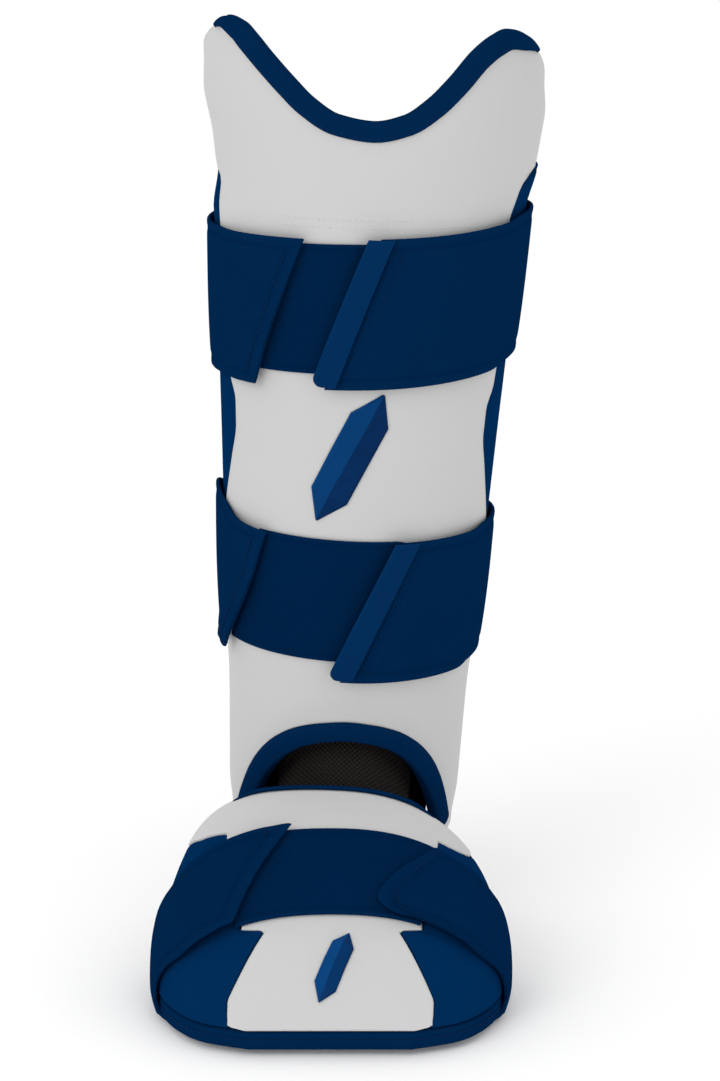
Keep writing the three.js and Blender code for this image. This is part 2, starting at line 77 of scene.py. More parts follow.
# Foot part
FOOT_WIDTH = 153
FOOT_LENGTH = 97
FOOT_HEIGHT = 83.2
FOOT_PAD_THICKNESS = 5.5
FOOT_SHELL_THICKNESS = 2.2
FOOT_SIDE_THICKNESS = 1.8
SIDE_PANEL_END = 72
SIDE_PANEL_WIDTH = 60
FOOT_LEFT_SHORT = 2
FOOT_RIGHT_SHORT = 12
FOOT_SHORT_FROM = 66
FOOT_LEFT_ROUND = 0.12
FOOT_RIGHT_ROUND = 0.32
FOOT_ROUND_FROM = 30
FOOT_ROUND_TO = 90
FOOT_RIGHT_NARROW = 1.5
FOOT_WALL = 0.4
FOOT_X = -11.6
TOE_FRONT = 155
RIM_TOP = 12.5
RIM_BOTTOM = 2.3
RIM_SEAM = 0.42

# Straps, tabs, bindings and badges
STRAP_WIDTH = 66
STRAP_THICKNESS = 2
LANDING_THICKNESS = 1.4
LANDING_WIDTH = 57
LANDING_REACH = 42
LANDING_LENGTH = 105
TAB_WIDTH = 10
TAB_THICKNESS = 1.6
TAB_CORNER = 5
TAPE_WIDTH = 9
TAPE_THICKNESS = 1.2
FOOT_STRAP_FRONT = 34
FOOT_STRAP_BACK = 72
FOOT_STRAP_WIDTH = FOOT_STRAP_BACK - FOOT_STRAP_FRONT
GAP = 0.3

# Distance of each layer outside the pad's outer face
SHELL_IN = GAP
SHELL_OUT = GAP + SHELL_THICKNESS
WING_IN = GAP + 0.15
LANDING_IN = SHELL_OUT + GAP
STRAP_IN = LANDING_IN + LANDING_THICKNESS + 2 * GAP
TAB_IN = STRAP_IN + STRAP_THICKNESS + GAP + 0.1
FOOT_IN = GAP + 0.2
FOOT_SHELL_OUT = FOOT_IN + FOOT_SHELL_THICKNESS
FOOT_LANDING_IN = FOOT_SHELL_OUT + GAP + 0.1
FOOT_STRAP_IN = FOOT_LANDING_IN + LANDING_THICKNESS + GAP + 0.2


def table(columns, *rows):
    """Columns of a small table by name."""
    return {name: np.array(values, float) for name, values in zip(columns.split(), zip(*rows))}


# Sections of the leg: height as a share of LEG_HEIGHT, half width and front depth as shares of
# half LEG_WIDTH and of LEG_DEPTH, back depth as a share of CALF_DEPTH
LEG = table(
    "at wide deep back",
    (0.094, 0.675, 0.7, 0.74),
    (0.156, 0.69, 0.712, 0.75),
    (0.219, 0.703, 0.727, 0.76),
    (0.285, 0.718, 0.758, 0.78),
    (0.34, 0.745, 0.788, 0.81),
    (0.48, 0.8, 0.84, 0.87),
    (0.592, 0.838, 0.88, 0.93),
    (0.79, 0.915, 0.924, 1),
    (0.837, 0.943, 0.939, 1),
    (0.88, 0.976, 0.954, 1),
    (0.924, 1, 0.97, 1),
    (1, 0.985, 1, 1),
)

# Angle from the front at which the light shell ends: height as a share of LEG_HEIGHT
SHELL_EDGE = table(
    "at side",
    (0.288, 93), (0.36, 93), (0.42, 90), (0.446, 84), (0.47, 77), (0.505, 70), (0.542, 64),
    (0.58, 59.5), (0.605, 59.5), (0.632, 64), (0.7, 66), (0.77, 64), (0.805, 63.5),
    (0.822, 65.5), (0.838, 67.5), (0.845, 70), (0.85, 75), (0.854, 83), (0.859, 91), (0.875, 93),
)
LEFT_NOTCH, RIGHT_NOTCH = 338, 343
SHELL_LEFT_MORE = 6
SHELL_RIGHT_LESS = 3.4
LEFT_NOTCH_DROP = 4

# The left side of the shin part is drawn in above the upper strap, and its top lobe stands out.
# Each comes on between two heights, and the first goes off again between two more.
LEFT_DRAWN_IN = 3.6
DRAWN_ON, DRAWN_OFF = (337, 358), (368, 402)
LEFT_LOBE_OUT = 1.7
LOBE_ON = (394, 414)

# Knee edge: angle from the front, height as a share of LEG_HEIGHT
KNEE = table(
    "at high",
    (-100, 0.94), (-86, 0.97), (-76, 0.983), (-68, 0.992), (-60, 1), (-52, 0.996), (-46, 0.986),
    (-38, 0.968), (-29, 0.946), (-21.5, 0.928), (-12, 0.913), (0, 0.908), (10, 0.915),
    (18.5, 0.932), (26, 0.953), (35.5, 0.981), (43, 0.994), (50, 1), (60, 0.993), (70, 0.98),
    (82, 0.962), (100, 0.925),
)

# Ankle arch: angle from the front, share of the way from LEG_BOTTOM to ARCH_TOP
ARCH = table(
    "at high",
    (-10, 0.98), (0, 1), (10, 0.98), (20, 0.93), (30, 0.83), (38, 0.705), (46, 0.535),
    (53, 0.34), (60, 0.125), (65, 0), (100, 0),
)

# Back edge of the side wings: height as a share of LEG_HEIGHT, degrees behind the side line
WING = table(
    "at back",
    (0.31, 20), (0.4, 27), (0.6, 27), (0.78, 28), (0.823, 20), (0.846, 10),
)

# Sections of the foot cap: distance behind the toe as a share of FOOT_LENGTH, half width and rise
# as shares, and how square the section is
FOOT = table(
    "at wide rise square",
    (0, 0.444, 0, 2.4),
    (0.026, 0.55, 0.064, 2.4),
    (0.072, 0.7, 0.149, 2.45),
    (0.144, 0.81, 0.262, 2.6),
    (0.268, 0.915, 0.417, 2.8),
    (0.381, 0.965, 0.52, 3),
    (0.515, 0.99, 0.65, 3.2),
    (0.67, 1, 0.775, 3.5),
    (0.773, 0.99, 0.861, 3.7),
    (0.897, 0.965, 0.94, 4),
    (1, 0.93, 1, 4.3),
)


def mix(a, b, t):
    return a + (b - a) * t


def ease(a, b, x):
    t = np.clip((x - a) / (b - a), 0, 1)
    return t * t * (3 - 2 * t)


def bump(x, width):
    """1 at x = 0, falling softly to nothing a few widths away."""
    return np.exp(-((x / width) ** 2))


def along(tab, x, column):
    """Smooth curve through one column of a table, level at its highs and lows."""
    at, value = tab["at"], tab[column]
    x = np.clip(np.asarray(x, float), at[0], at[-1])
    span = np.diff(at)
    slope = np.diff(value) / span
    before, after = slope[:-1], slope[1:]
    same = before * after > 0
    total = np.where(same, before + after, 1)
    bend = np.concatenate([slope[:1], np.where(same, 2 * before * after / total, 0), slope[-1:]])
    k = np.clip(np.searchsorted(at, x) - 1, 0, len(span) - 1)
    t = (x - at[k]) / span[k]
    rise = value[k + 1] - value[k]
    start, end = bend[k] * span[k], bend[k + 1] * span[k]
    curve = (3 * rise - 2 * start - end) * t**2 + (start + end - 2 * rise) * t**3
    return value[k] + start * t + curve


def leg_point(angle, height, out=0.0):
    """Points on the leg at an angle from the front and a height, off the pad's outer face."""
    angle, height, out = np.broadcast_arrays(*(np.asarray(v, float) for v in (angle, height, out)))
    share = height / LEG_HEIGHT
    turn = np.radians(angle)
    front = along(LEG, share, "deep") * LEG_DEPTH
    back = along(LEG, share, "back") * CALF_DEPTH
    deep = np.where(np.cos(turn) >= 0, front, back) + out
    across = (along(LEG, share, "wide") * LEG_WIDTH / 2 + out) * np.sin(turn)
    drawn = LEFT_DRAWN_IN * ease(*DRAWN_ON, height) * (1 - ease(*DRAWN_OFF, height))
    drawn = drawn - LEFT_LOBE_OUT * ease(*LOBE_ON, height)
    across = across + drawn * np.maximum(0, -np.sin(turn)) ** 2
    tip = math.radians(LEG_LEAN)
    x = across * math.cos(tip) + (height - SEAT_HEIGHT) * math.sin(tip)
    z = LEG_BOTTOM + (height - LEG_BOTTOM) * math.cos(tip) - across * math.sin(tip)
    return np.stack([x, -deep * np.cos(turn), z - SEAT_HEIGHT], -1)


def leg_degree(angle, height):
    """Millimetres round the leg for one degree."""
    step = leg_point(angle + 0.5, height) - leg_point(angle - 0.5, height)
    return np.linalg.norm(step, axis=-1)


def foot_point(side, level, out=0.0, sole_out=None):
    """Points on the foot cap, off the pad's outer face. Side runs from -1 to 1 across the top, to 2
    down the side wall and to 3 at the middle of the sole, where sole_out counts in place of out.
    Towards its back edge the cap gets shorter and its shoulder rounder, most on the right."""
    side, level, out = np.broadcast_arrays(*(np.asarray(v, float) for v in (side, level, out)))
    reach = abs(side)
    short = mix(FOOT_LEFT_SHORT, FOOT_RIGHT_SHORT, ease(-0.1, 0.8, side)) * (1 - ease(2, 3, reach))
    behind = level - short * ease(FOOT_SHORT_FROM, FOOT_LENGTH, level)
    sole_out = out if sole_out is None else sole_out
    share = behind / FOOT_LENGTH
    half = along(FOOT, share, "wide") * FOOT_WIDTH / 2 + out
    half = half - FOOT_RIGHT_NARROW * ease(0, 0.8, side)
    shoulder = np.where(side > 0, FOOT_RIGHT_ROUND, FOOT_LEFT_ROUND)
    shoulder = shoulder * ease(FOOT_ROUND_FROM, FOOT_ROUND_TO, behind)
    square = along(FOOT, share, "square") * (1 - shoulder)
    y = behind - TOE_FRONT - out * (1 - np.minimum(1, share)) ** 2
    across = np.sin(np.radians(90 * np.minimum(1, reach)))
    full = (FOOT_HEIGHT - RIM_TOP) * along(FOOT, share, "rise") + out * ease(0, 0.25, share)
    top_z = RIM_TOP + full * np.maximum(0, 1 - across**square) ** (1 / 2.2)
    down = np.clip(reach - 1, 0, 1)
    floor = RIM_BOTTOM - sole_out
    corner = np.minimum(4, (RIM_TOP - floor) / 2)
    arc = np.radians(90 * ease(FOOT_WALL, 1, down))
    wall = down < FOOT_WALL
    wall_z = np.where(
        wall, mix(RIM_TOP, floor + corner, down / FOOT_WALL), floor + corner * (1 - np.sin(arc))
    )
    wall_x = half - np.where(wall, 0, corner * (1 - np.cos(arc)))
    wall_x = wall_x * np.where(reach > 2, 3 - reach, 1)
    x = np.where(reach <= 1, half * across, wall_x)
    z = np.where(reach <= 1, top_z, wall_z)
    return np.stack([FOOT_X + np.sign(side) * x, y, z - SEAT_HEIGHT], -1)


def foot_side(x, behind):
    """Side value at a distance across the cap."""
    half = along(FOOT, behind / FOOT_LENGTH, "wide") * FOOT_WIDTH / 2
    return np.degrees(np.arcsin(np.clip(x / half, -1, 1))) / 90


def knee_height(angle):
    return along(KNEE, angle, "high") * LEG_HEIGHT


def arch_height(angle):
    return mix(LEG_BOTTOM, ARCH_TOP, along(ARCH, abs(angle), "high"))


def rounded(length, radius, count):
    """Shares of a length from 0 to 1, close together at its two round edges, and how full the
    piece's thickness is at each."""
    turn = np.radians([0, 22, 45, 68])
    edge = radius * (1 - np.cos(turn)) / length
    flat = np.linspace(radius / length, 1 - radius / length, count)
    shares = np.concatenate([edge, flat, 1 - edge[::-1]])
    fullness = np.concatenate([np.sin(turn), np.ones(count), np.sin(turn)[::-1]])
    return shares, fullness


def piece_grid(thickness, high, wide):
    """Shares of a piece's height and width over its grid, and how full its thickness is. High and
    wide each hold a length and a number of steps."""
    rows, row_full = rounded(high[0], thickness / 2, high[1])
    columns, column_full = rounded(wide[0], thickness / 2, wide[1])
    return *np.meshgrid(rows, columns, indexing="ij"), np.outer(row_full, column_full)


def border(*sides):
    """Distances to the nearest edge in two directions, each from its shares and its length."""
    return np.stack([np.minimum(share, 1 - share) * length for share, length in sides], -1)


def running(points, axis):
    """Length along one axis of a grid of points, counted from its middle line."""
    steps = np.linalg.norm(np.diff(points, axis=axis), axis=-1)
    total = np.cumsum(steps, axis=axis)
    total = np.insert(total, 0, 0, axis=axis)
    return total - np.take(total, [total.shape[axis] // 2], axis=axis)


def new_mesh(name, points, faces, finish, flat=False):
    mesh = bpy.data.meshes.new(name)
    mesh.from_pydata((np.asarray(points) * METRE).tolist(), [], faces)
    mesh.polygons.foreach_set("use_smooth", [not flat] * len(faces))
    mesh.materials.append(finish)
    mesh.update()
    piece = bpy.data.objects.new(name, mesh)
    bpy.context.scene.collection.objects.link(piece)
    return piece


def grid_faces(index):
    """Quads of a grid whose point numbers are in index."""
    a, b = index[:-1, :-1].ravel(), index[:-1, 1:].ravel()
    c, d = index[1:, 1:].ravel(), index[1:, :-1].ravel()
    return np.stack([a, b, c, d], -1)


def write_vectors(piece, label, values, third=0, domain="POINT"):
    """A named attribute that the materials read."""
    vectors = np.column_stack([values, np.broadcast_to(third, len(values))])
    data = piece.data.attributes.new(label, "FLOAT_VECTOR", domain)
    data.data.foreach_set("vector", vectors.astype(np.float32).ravel())


def closed_cloth(name, outer, inner, finish, edge=None):
    """A closed piece between two grids of points that meet along their borders. Its cloth runs
    with the grid: the material reads millimetres along and across it, and those to its edges."""
    high, wide = outer.shape[:2]
    front = np.arange(high * wide).reshape(high, wide)
    back = front.copy()
    back[1:-1, 1:-1] = high * wide + np.arange((high - 2) * (wide - 2)).reshape(high - 2, wide - 2)
    points = np.concatenate([outer.reshape(-1, 3), inner[1:-1, 1:-1].reshape(-1, 3)])
    faces = np.concatenate([grid_faces(front), grid_faces(back)[:, ::-1]])
    first, second, third = (points[faces[:, k]] for k in range(3))
    fourth = points[faces[:, 3]]
    volume = (first * np.cross(second, third)).sum() + (first * np.cross(third, fourth)).sum()
    if volume < 0:
        faces = faces[:, ::-1]
    piece = new_mesh(name, points, faces.tolist(), finish)
    middle = (outer + inner) / 2
    weave = np.stack([running(middle, 1), running(middle, 0)], -1)
    edge = np.full((high, wide, 2), FAR_FROM_EDGE) if edge is None else edge
    on_back = np.arange(len(points)) >= high * wide
    for label, values, third in (("weave", weave, on_back), ("edge", edge, 0)):
        both = [values.reshape(-1, 2), values[1:-1, 1:-1].reshape(-1, 2)]
        write_vectors(piece, label, np.concatenate(both), third)
    return piece


def layer(name, surface, a, b, middle, thickness, full, finish, edge=None):
    """A closed layer of even thickness on a surface, with round edges where full falls to 0."""
    half = thickness / 2 * full
    return closed_cloth(
        name, surface(a, b, middle + half), surface(a, b, middle - half), finish, edge
    )


# Materials. Each surface reads millimetres along and across its cloth, so that its weave has its
# real scale, and its distance from the piece's edges, where stitching, wear and painted shade lie.

# Strips of the web beside its middle band that lie in shade, painted dark
WEB_SHADED = 12

# Colours as linear light
LIGHT_GREY = (0.52, 0.52, 0.52, 1)
LIGHT_GREY_WORN = (0.465, 0.463, 0.459, 1)
# The foot panel has the shell's grey, painted a little lighter to offset the shade on the low foot
FOOT_GREY = (0.53, 0.53, 0.53, 1)
NAVY = (0.0004, 0.0146, 0.0545, 1)
NAVY_LIFTED = (0.0008, 0.0207, 0.076, 1)
SIDE_NAVY = (0.0003, 0.02, 0.075, 1)
SIDE_NAVY_LIFTED = (0.0006, 0.0258, 0.0945, 1)
PATCH_NAVY = (0.0003, 0.0152, 0.058, 1)
THREAD_NAVY = (0.0006, 0.009, 0.036, 1)
# Badge blues for painted light on the facets: the shaded tone and the lit tone
BADGE_SHADED_BLUE = (0.0004, 0.013, 0.06, 1)
BADGE_LIT_BLUE = (0.0008, 0.06, 0.215, 1)
# Web blacks: the weave runs between them, and the sides painted dark as shade take the darker
WEB_BLACK = (0.004, 0.0033, 0.003, 1)
WEB_BLACK_LIFTED = (0.027, 0.0235, 0.0222, 1)


class Surface:
    """A node material under construction."""

    def __init__(self, name):
        self.material = bpy.data.materials.new(name)
        self.material.use_nodes = True
        self.tree = self.material.node_tree
        self.shader = self.tree.nodes["Principled BSDF"]

    def node(self, kind, **settings):
        made = self.tree.nodes.new(kind)
        for key, value in settings.items():
            setattr(made, key, value)
        return made

    def put(self, socket, value):
        if isinstance(value, bpy.types.NodeSocket):
            self.tree.links.new(value, socket)
        else:
            socket.default_value = value

    def math(self, operation, *values):
        made = self.node("ShaderNodeMath", operation=operation)
        for socket, value in zip(made.inputs, values):
            self.put(socket, value)
        return made.outputs[0]

    def total(self, *values):
        result = values[0]
        for value in values[1:]:
            result = self.math("ADD", result, value)
        return result

    def scaled(self, value, factor):
        return self.math("MULTIPLY", value, factor)

    def weighted(self, *terms):
        """Sum of terms, each a value or a pair of a value and its factor."""
        parts = (self.scaled(*term) if isinstance(term, tuple) else term for term in terms)
        return self.total(*parts)

    def attribute(self, name):
        made = self.node("ShaderNodeAttribute", attribute_name=name)
        parts = self.node("ShaderNodeSeparateXYZ")
        self.put(parts.inputs[0], made.outputs["Vector"])
        return made.outputs["Vector"], parts.outputs[0], parts.outputs[1]

    def cloth_place(self):
        """Place on the cloth, and distances to its side edges and to its nearest edge."""
        place = self.attribute("weave")[0]
        _, rim, end = self.attribute("edge")
        return place, rim, self.math("MINIMUM", rim, end)

    def noise(self, vector, scale, detail=3.0):
        made = self.node("ShaderNodeTexNoise")
        inputs = (("Vector", vector), ("Scale", scale), ("Detail", detail), ("Roughness", 0.55))
        for name, value in inputs:
            self.put(made.inputs[name], value)
        return made.outputs["Fac"]

    def wave(self, value, pitch):
        """A sine along a length in millimetres, from -1 to 1."""
        return self.math("SINE", self.scaled(value, 2 * math.pi / pitch))

    def groove(self, value, place, width):
        """1 on a line at a distance from an edge, falling off within about its width."""
        off = self.math("DIVIDE", self.math("SUBTRACT", value, place), width)
        return self.math("EXPONENT", self.scaled(self.math("MULTIPLY", off, off), -1.0))

    def colours(self, share, first, second):
        made = self.node("ShaderNodeMix", data_type="RGBA", clamp_factor=True)
        self.put(made.inputs[0], share)
        self.put(made.inputs[6], first)
        self.put(made.inputs[7], second)
        return made.outputs[2]

    def finish(self, colour, rough, height, strength):
        relief = self.node("ShaderNodeBump")
        for name, value in (("Strength", strength), ("Distance", METRE), ("Height", height)):
            self.put(relief.inputs[name], value)
        self.put(self.shader.inputs["Base Color"], colour)
        self.put(self.shader.inputs["Roughness"], rough)
        self.put(self.shader.inputs["Normal"], relief.outputs[0])
        return self.material

    def sheen(self, weight, rough, tint):
        self.shader.inputs["Sheen Weight"].default_value = weight
        self.shader.inputs["Sheen Roughness"].default_value = rough
        self.shader.inputs["Sheen Tint"].default_value = tint
        return self

    def gloss(self, level):
        self.shader.inputs["Specular IOR Level"].default_value = level
        return self


def twill(surface, u, v, pitch):
    """Diagonal rows of small raised knots, as on a woven elastic."""
    slant = surface.wave(surface.weighted(u, (v, 0.62)), pitch)
    cross = surface.wave(surface.weighted(v, (u, -0.5)), pitch * 0.72)
    knots = surface.math("MULTIPLY", slant, cross)
    return surface.weighted((slant, 0.55), (knots, 0.6))


def ribs(surface, u, v, pitch):
    """Fine ribs along the band, broken by its cross threads."""
    rib = surface.wave(v, pitch)
    weft = surface.wave(u, pitch * 0.55)
    return surface.weighted((rib, 0.8), (weft, 0.3))


def basket(surface, u, v, pitch):
    """Plain weave: warp and weft over and under each other."""
    warp = surface.wave(u, pitch)
    weft = surface.wave(v, pitch)
    return surface.math("MULTIPLY", warp, weft)


def cloth(
    name, low, high, weave, pitch, relief=0.16, rough=0.9, sheen=0.01, seam=None, contrast=0.5,
    shaded=None,
):
    """Woven or knitted cloth. A seam is the distance of a sewn line from the piece's edges, and
    cloth that lies nearer to a side edge than shaded is painted darker, as shade."""
    surface = Surface(name).sheen(sheen, 0.5, (0.02, 0.3, 1, 1)).gloss(0)
    _, u, v = surface.attribute("weave")
    place, rim, near = surface.cloth_place()
    pattern = weave(surface, u, v, pitch)
    broad = surface.noise(place, 0.035, 2.0)
    fuzz = surface.noise(place, 2.1, 2.0)
    worn = surface.groove(near, 0.0, 1.3)
    share = surface.weighted(
        (pattern, 0.22 * contrast), (broad, 0.5), (fuzz, 0.35 * contrast), (worn, 0.22), 0.02
    )
    height = surface.weighted((pattern, relief), (fuzz, relief * 0.9))
    if seam is not None:
        sunk = surface.groove(near, seam, 0.9)
        share = surface.weighted(share, (sunk, -0.3))
        height = surface.weighted(height, (sunk, -0.42))
    # Painted shade: near the side edges the colour falls to the darkest
    if shaded is not None:
        past = surface.math("MULTIPLY", surface.math("SUBTRACT", rim, shaded), 1.2)
        fall = surface.math("MINIMUM", surface.math("MAXIMUM", past, -1.0), 0.0)
        share = surface.total(share, fall)
    roughness = surface.weighted((broad, 0.1), rough - 0.05)
    return surface.finish(surface.colours(share, low, high), roughness, height, 0.9)


def coated(name, light, worn_tone):
    """Matte light grey coated shell with a faint leather grain and soft dents."""
    surface = Surface(name).gloss(0.12)
    place, _, near = surface.cloth_place()
    grain = surface.node("ShaderNodeTexVoronoi", feature="SMOOTH_F1")
    for socket, value in (("Vector", place), ("Scale", 0.85), ("Smoothness", 0.8)):
        surface.put(grain.inputs[socket], value)
    broad = surface.noise(place, 0.02, 2.0)
    fine = surface.noise(place, 1.7)
    worn = surface.groove(near, 0.0, 2.2)
    share = surface.weighted((broad, 0.26), (fine, 0.1), (worn, 0.5))
    height = surface.weighted((grain.outputs["Distance"], 0.07), (fine, 0.05), (broad, 0.5))
    colour = surface.colours(share, light, worn_tone)
    return surface.finish(colour, surface.weighted((fine, 0.14), 0.5), height, 0.5)


def moulded(name, low, high, rough):
    """Smooth rubbery pull tab with a faint skin."""
    surface = Surface(name).gloss(0.01)
    place, _, near = surface.cloth_place()
    broad = surface.noise(place, 0.05, 2.0)
    skin = surface.noise(place, 3.2)
    share = surface.weighted((broad, 0.4), (skin, 0.2), (surface.groove(near, 0.2, 0.7), 0.5))
    colour = surface.colours(share, low, high)
    roughness = surface.weighted((skin, 0.12), rough)
    return surface.finish(colour, roughness, surface.scaled(skin, 0.06), 0.6)


def enamel(name):
    """Glossy blue facets: each is painted lighter the more it faces up and to the left, as painted
    light, and faint streaks vary the blue.
    """
    surface = Surface(name).gloss(0.03)
    made = surface.node("ShaderNodeTexCoord")
    streak = surface.noise(made.outputs["Object"], 240.0, 2.0)
    _, facet_light, _ = surface.attribute("facet_light")
    # Painted light: how lit each facet is, with faint streaks added
    depth = surface.weighted((streak, 0.16), facet_light)
    colour = surface.colours(depth, BADGE_SHADED_BLUE, BADGE_LIT_BLUE)
    roughness = surface.weighted((streak, 0.1), 0.2)
    return surface.finish(colour, roughness, surface.scaled(streak, 0.05), 0.3)


def thread(name, colour):
    """Twisted sewing thread."""
    surface = Surface(name).sheen(0.02, 0.4, (0.2, 0.5, 1, 1)).gloss(0.05)
    made = surface.node("ShaderNodeTexCoord")
    twist = surface.noise(made.outputs["Object"], 2600.0, 1.0)
    lifted = tuple(min(1, c * 2.6) for c in colour[:3]) + (1,)
    shade = surface.colours(twist, colour, lifted)
    return surface.finish(shade, surface.weighted((twist, 0.2), 0.55), twist, 0.25)


shell_finish = coated("coated_shell", LIGHT_GREY, LIGHT_GREY_WORN)
foot_shell_finish = coated("coated_foot_panel", FOOT_GREY, LIGHT_GREY)
pad_finish = cloth("pad_cloth", NAVY, NAVY_LIFTED, basket, 1.3, relief=0.1, rough=0.88)
wing_finish = cloth("wing_cloth", SIDE_NAVY, SIDE_NAVY_LIFTED, twill, 1.5, relief=0.08, seam=3.2)
tape_finish = cloth("binding_tape", NAVY, NAVY_LIFTED, ribs, 1.1, relief=0.07, rough=0.72)
strap_finish = cloth("strap_weave", NAVY, NAVY_LIFTED, twill, 1.9, relief=0.17, seam=4.5)
foot_strap_finish = cloth("foot_strap_weave", NAVY, NAVY_LIFTED, ribs, 1.8, relief=0.2, seam=3.6)
patch_finish = cloth(
    "fastening_patch", PATCH_NAVY, NAVY_LIFTED, basket, 1.0, relief=0.22, rough=0.95, seam=2.5
)
side_finish = cloth("side_cloth", SIDE_NAVY, SIDE_NAVY_LIFTED, basket, 1.2, relief=0.05, rough=0.62)
rim_finish = cloth("rim_cloth", NAVY, NAVY_LIFTED, basket, 1.2, relief=0.06, rough=0.68)
tab_finish = moulded("pull_tab", SIDE_NAVY, SIDE_NAVY_LIFTED, 0.42)
web_finish = cloth(
    "black_web", WEB_BLACK, WEB_BLACK_LIFTED, basket, 2.3, relief=0.4, rough=0.9, sheen=0.0,
    contrast=1.8, shaded=WEB_SHADED,
)
badge_finish = enamel("badge_enamel")
dark_thread = thread("navy_thread", THREAD_NAVY)
grey_thread = thread("grey_thread", (0.3, 0.3, 0.3, 1))


def unit(vectors):
    return vectors / np.maximum(np.linalg.norm(vectors, axis=-1, keepdims=True), 1e-9)


def dress(piece, *nodes, slot=None):
    """The piece moves with the guard and stands for its CAD nodes, which are hidden; slot is not
    used.
    """
    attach(piece, "root")
    if nodes:
        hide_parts(*nodes)
    return piece


def stitches(name, slot, line, outward, finish, pitch=3.1, length=2.1, radius=0.34):
    """A sewn row: one short thread after another along a line on a surface, a little sunk in."""
    steps = np.linalg.norm(np.diff(line, axis=0), axis=1)
    total = np.insert(np.cumsum(steps), 0, 0)
    centres = np.arange(pitch * 0.7, total[-1] - pitch * 0.5, pitch)

    def at(values, where):
        return np.stack([np.interp(where, total, values[:, k]) for k in range(3)], -1)

    middle = at(line, centres)
    run = unit(at(line, centres + length / 2) - at(line, centres - length / 2))
    up = unit(at(outward, centres))
    across = unit(np.cross(up, run))
    ends = np.radians([-90, -50, 0, 50, 90])
    sides = 6
    rings = np.radians(np.arange(0, 360, 360 // sides))
    points, faces = [], []
    for k in range(len(centres)):
        base = len(points)
        for end in ends:
            for ring in rings:
                reach = radius * max(0.12, math.cos(end))
                points.append(
                    middle[k]
                    + run[k] * length / 2 * math.sin(end)
                    + across[k] * reach * math.cos(ring)
                    + up[k] * reach * 0.85 * math.sin(ring)
                )
        last = base + (len(ends) - 1) * sides
        for row in range(base, last, sides):
            for c in range(sides):
                a, b = row + c, row + (c + 1) % sides
                faces.append((a, b, b + sides, a + sides))
        faces.append(tuple(range(base + sides - 1, base - 1, -1)))
        faces.append(tuple(range(last, last + sides)))
    return dress(new_mesh(name, points, faces, finish), slot=slot)


def ripple(u, v, size):
    """Small unevenness of soft cloth, in millimetres, never below nothing."""
    soft = np.sin(u / 17 + 1.3) * np.cos(v / 23) + 0.6 * np.sin(u / 8.5 + v / 14 + 0.7)
    return size * (0.5 + soft / 3.2)


# Shin pad and light shell: a wall from the ankle arch up to the knee edge
FIRST_LEVEL = SHELL_EDGE["at"][0] * LEG_HEIGHT
LAST_LEVEL = SHELL_EDGE["at"][-1] * LEG_HEIGHT
LOW_SHARE, HIGH_SHARE = 0.2, 0.88
WALL_LENGTH = 300
WALL_ROUND = 235


def wall_height(share, angle):
    low = mix(arch_height(angle), FIRST_LEVEL, share / LOW_SHARE)
    middle = mix(FIRST_LEVEL, LAST_LEVEL, (share - LOW_SHARE) / (HIGH_SHARE - LOW_SHARE))
    high = mix(LAST_LEVEL, knee_height(angle), (share - HIGH_SHARE) / (1 - HIGH_SHARE))
    return np.where(share < LOW_SHARE, low, np.where(share < HIGH_SHARE, middle, high))


def shell_side(angle, height):
    """Angle of the light shell's side edge; the left one lies a little further round."""
    left = np.asarray(angle) < 0
    dropped = height + left * LEFT_NOTCH_DROP * ease(300, LEFT_NOTCH, height)
    side = along(SHELL_EDGE, dropped / LEG_HEIGHT, "side")
    more = SHELL_LEFT_MORE * left * bump(height - LEFT_NOTCH, 26) * (side < 88)
    return side + more - SHELL_RIGHT_LESS * (1 - left) * bump(height - RIGHT_NOTCH, 17)


def shell_angle(full, height):
    """Angle of a shell column: columns beyond the front close up to the side edge of the shell."""
    side = shell_side(full, height)
    beyond = np.maximum(0, abs(full) - FRONT_ANGLE) / (SHELL_SIDE - FRONT_ANGLE)
    narrow = np.sign(full) * mix(FRONT_ANGLE, side, beyond)
    return np.where(beyond > 0, narrow, full), side


def wall_grid(reach, thickness, high, wide):
    share, column, full = piece_grid(thickness, (WALL_LENGTH, high), (WALL_ROUND, wide))
    angle = mix(-reach, reach, column)
    return angle, wall_height(share, angle), full


def pinch(angle, height, thin, full):
    """Thickness of a layer that is pinched thin along the knee edge and the ankle arch."""
    near = np.minimum(knee_height(angle) - height, height - arch_height(angle))
    return mix(thin, full, ease(5, 22, near))


def make_shin_pad():
    angle, height, full = wall_grid(PAD_BACK, PAD_THICKNESS, 84, 96)
    thick = pinch(angle, height, PAD_EDGE, PAD_THICKNESS) + ripple(angle * 1.2, height, 0.5)
    half = thick / 2 * full
    middle = -thick / 2
    outer = leg_point(angle, height, np.minimum(middle + half, 0))
    piece = closed_cloth("padded_body", outer, leg_point(angle, height, middle - half), pad_finish)
    dress(piece, "shin_pad")


def make_shin_shell():
    full_angle, height, full = wall_grid(SHELL_SIDE, SHELL_THICKNESS, 130, 110)
    angle, side = shell_angle(full_angle, height)
    to_side = (side - abs(angle)) * 1.15
    to_end = np.minimum(height - arch_height(full_angle), knee_height(full_angle) - height)
    edge = np.stack([to_side, to_end], -1)
    thick = pinch(full_angle, height, SHELL_EDGE_THICKNESS, SHELL_THICKNESS)
    middle = SHELL_IN + thick / 2
    piece = layer(
        "light_shell", leg_point, angle, height, middle, thick, full, shell_finish, edge
    )
    dress(piece, "shin_shell")


WING_BOTTOM = 0.36
WING_LENGTH = 208


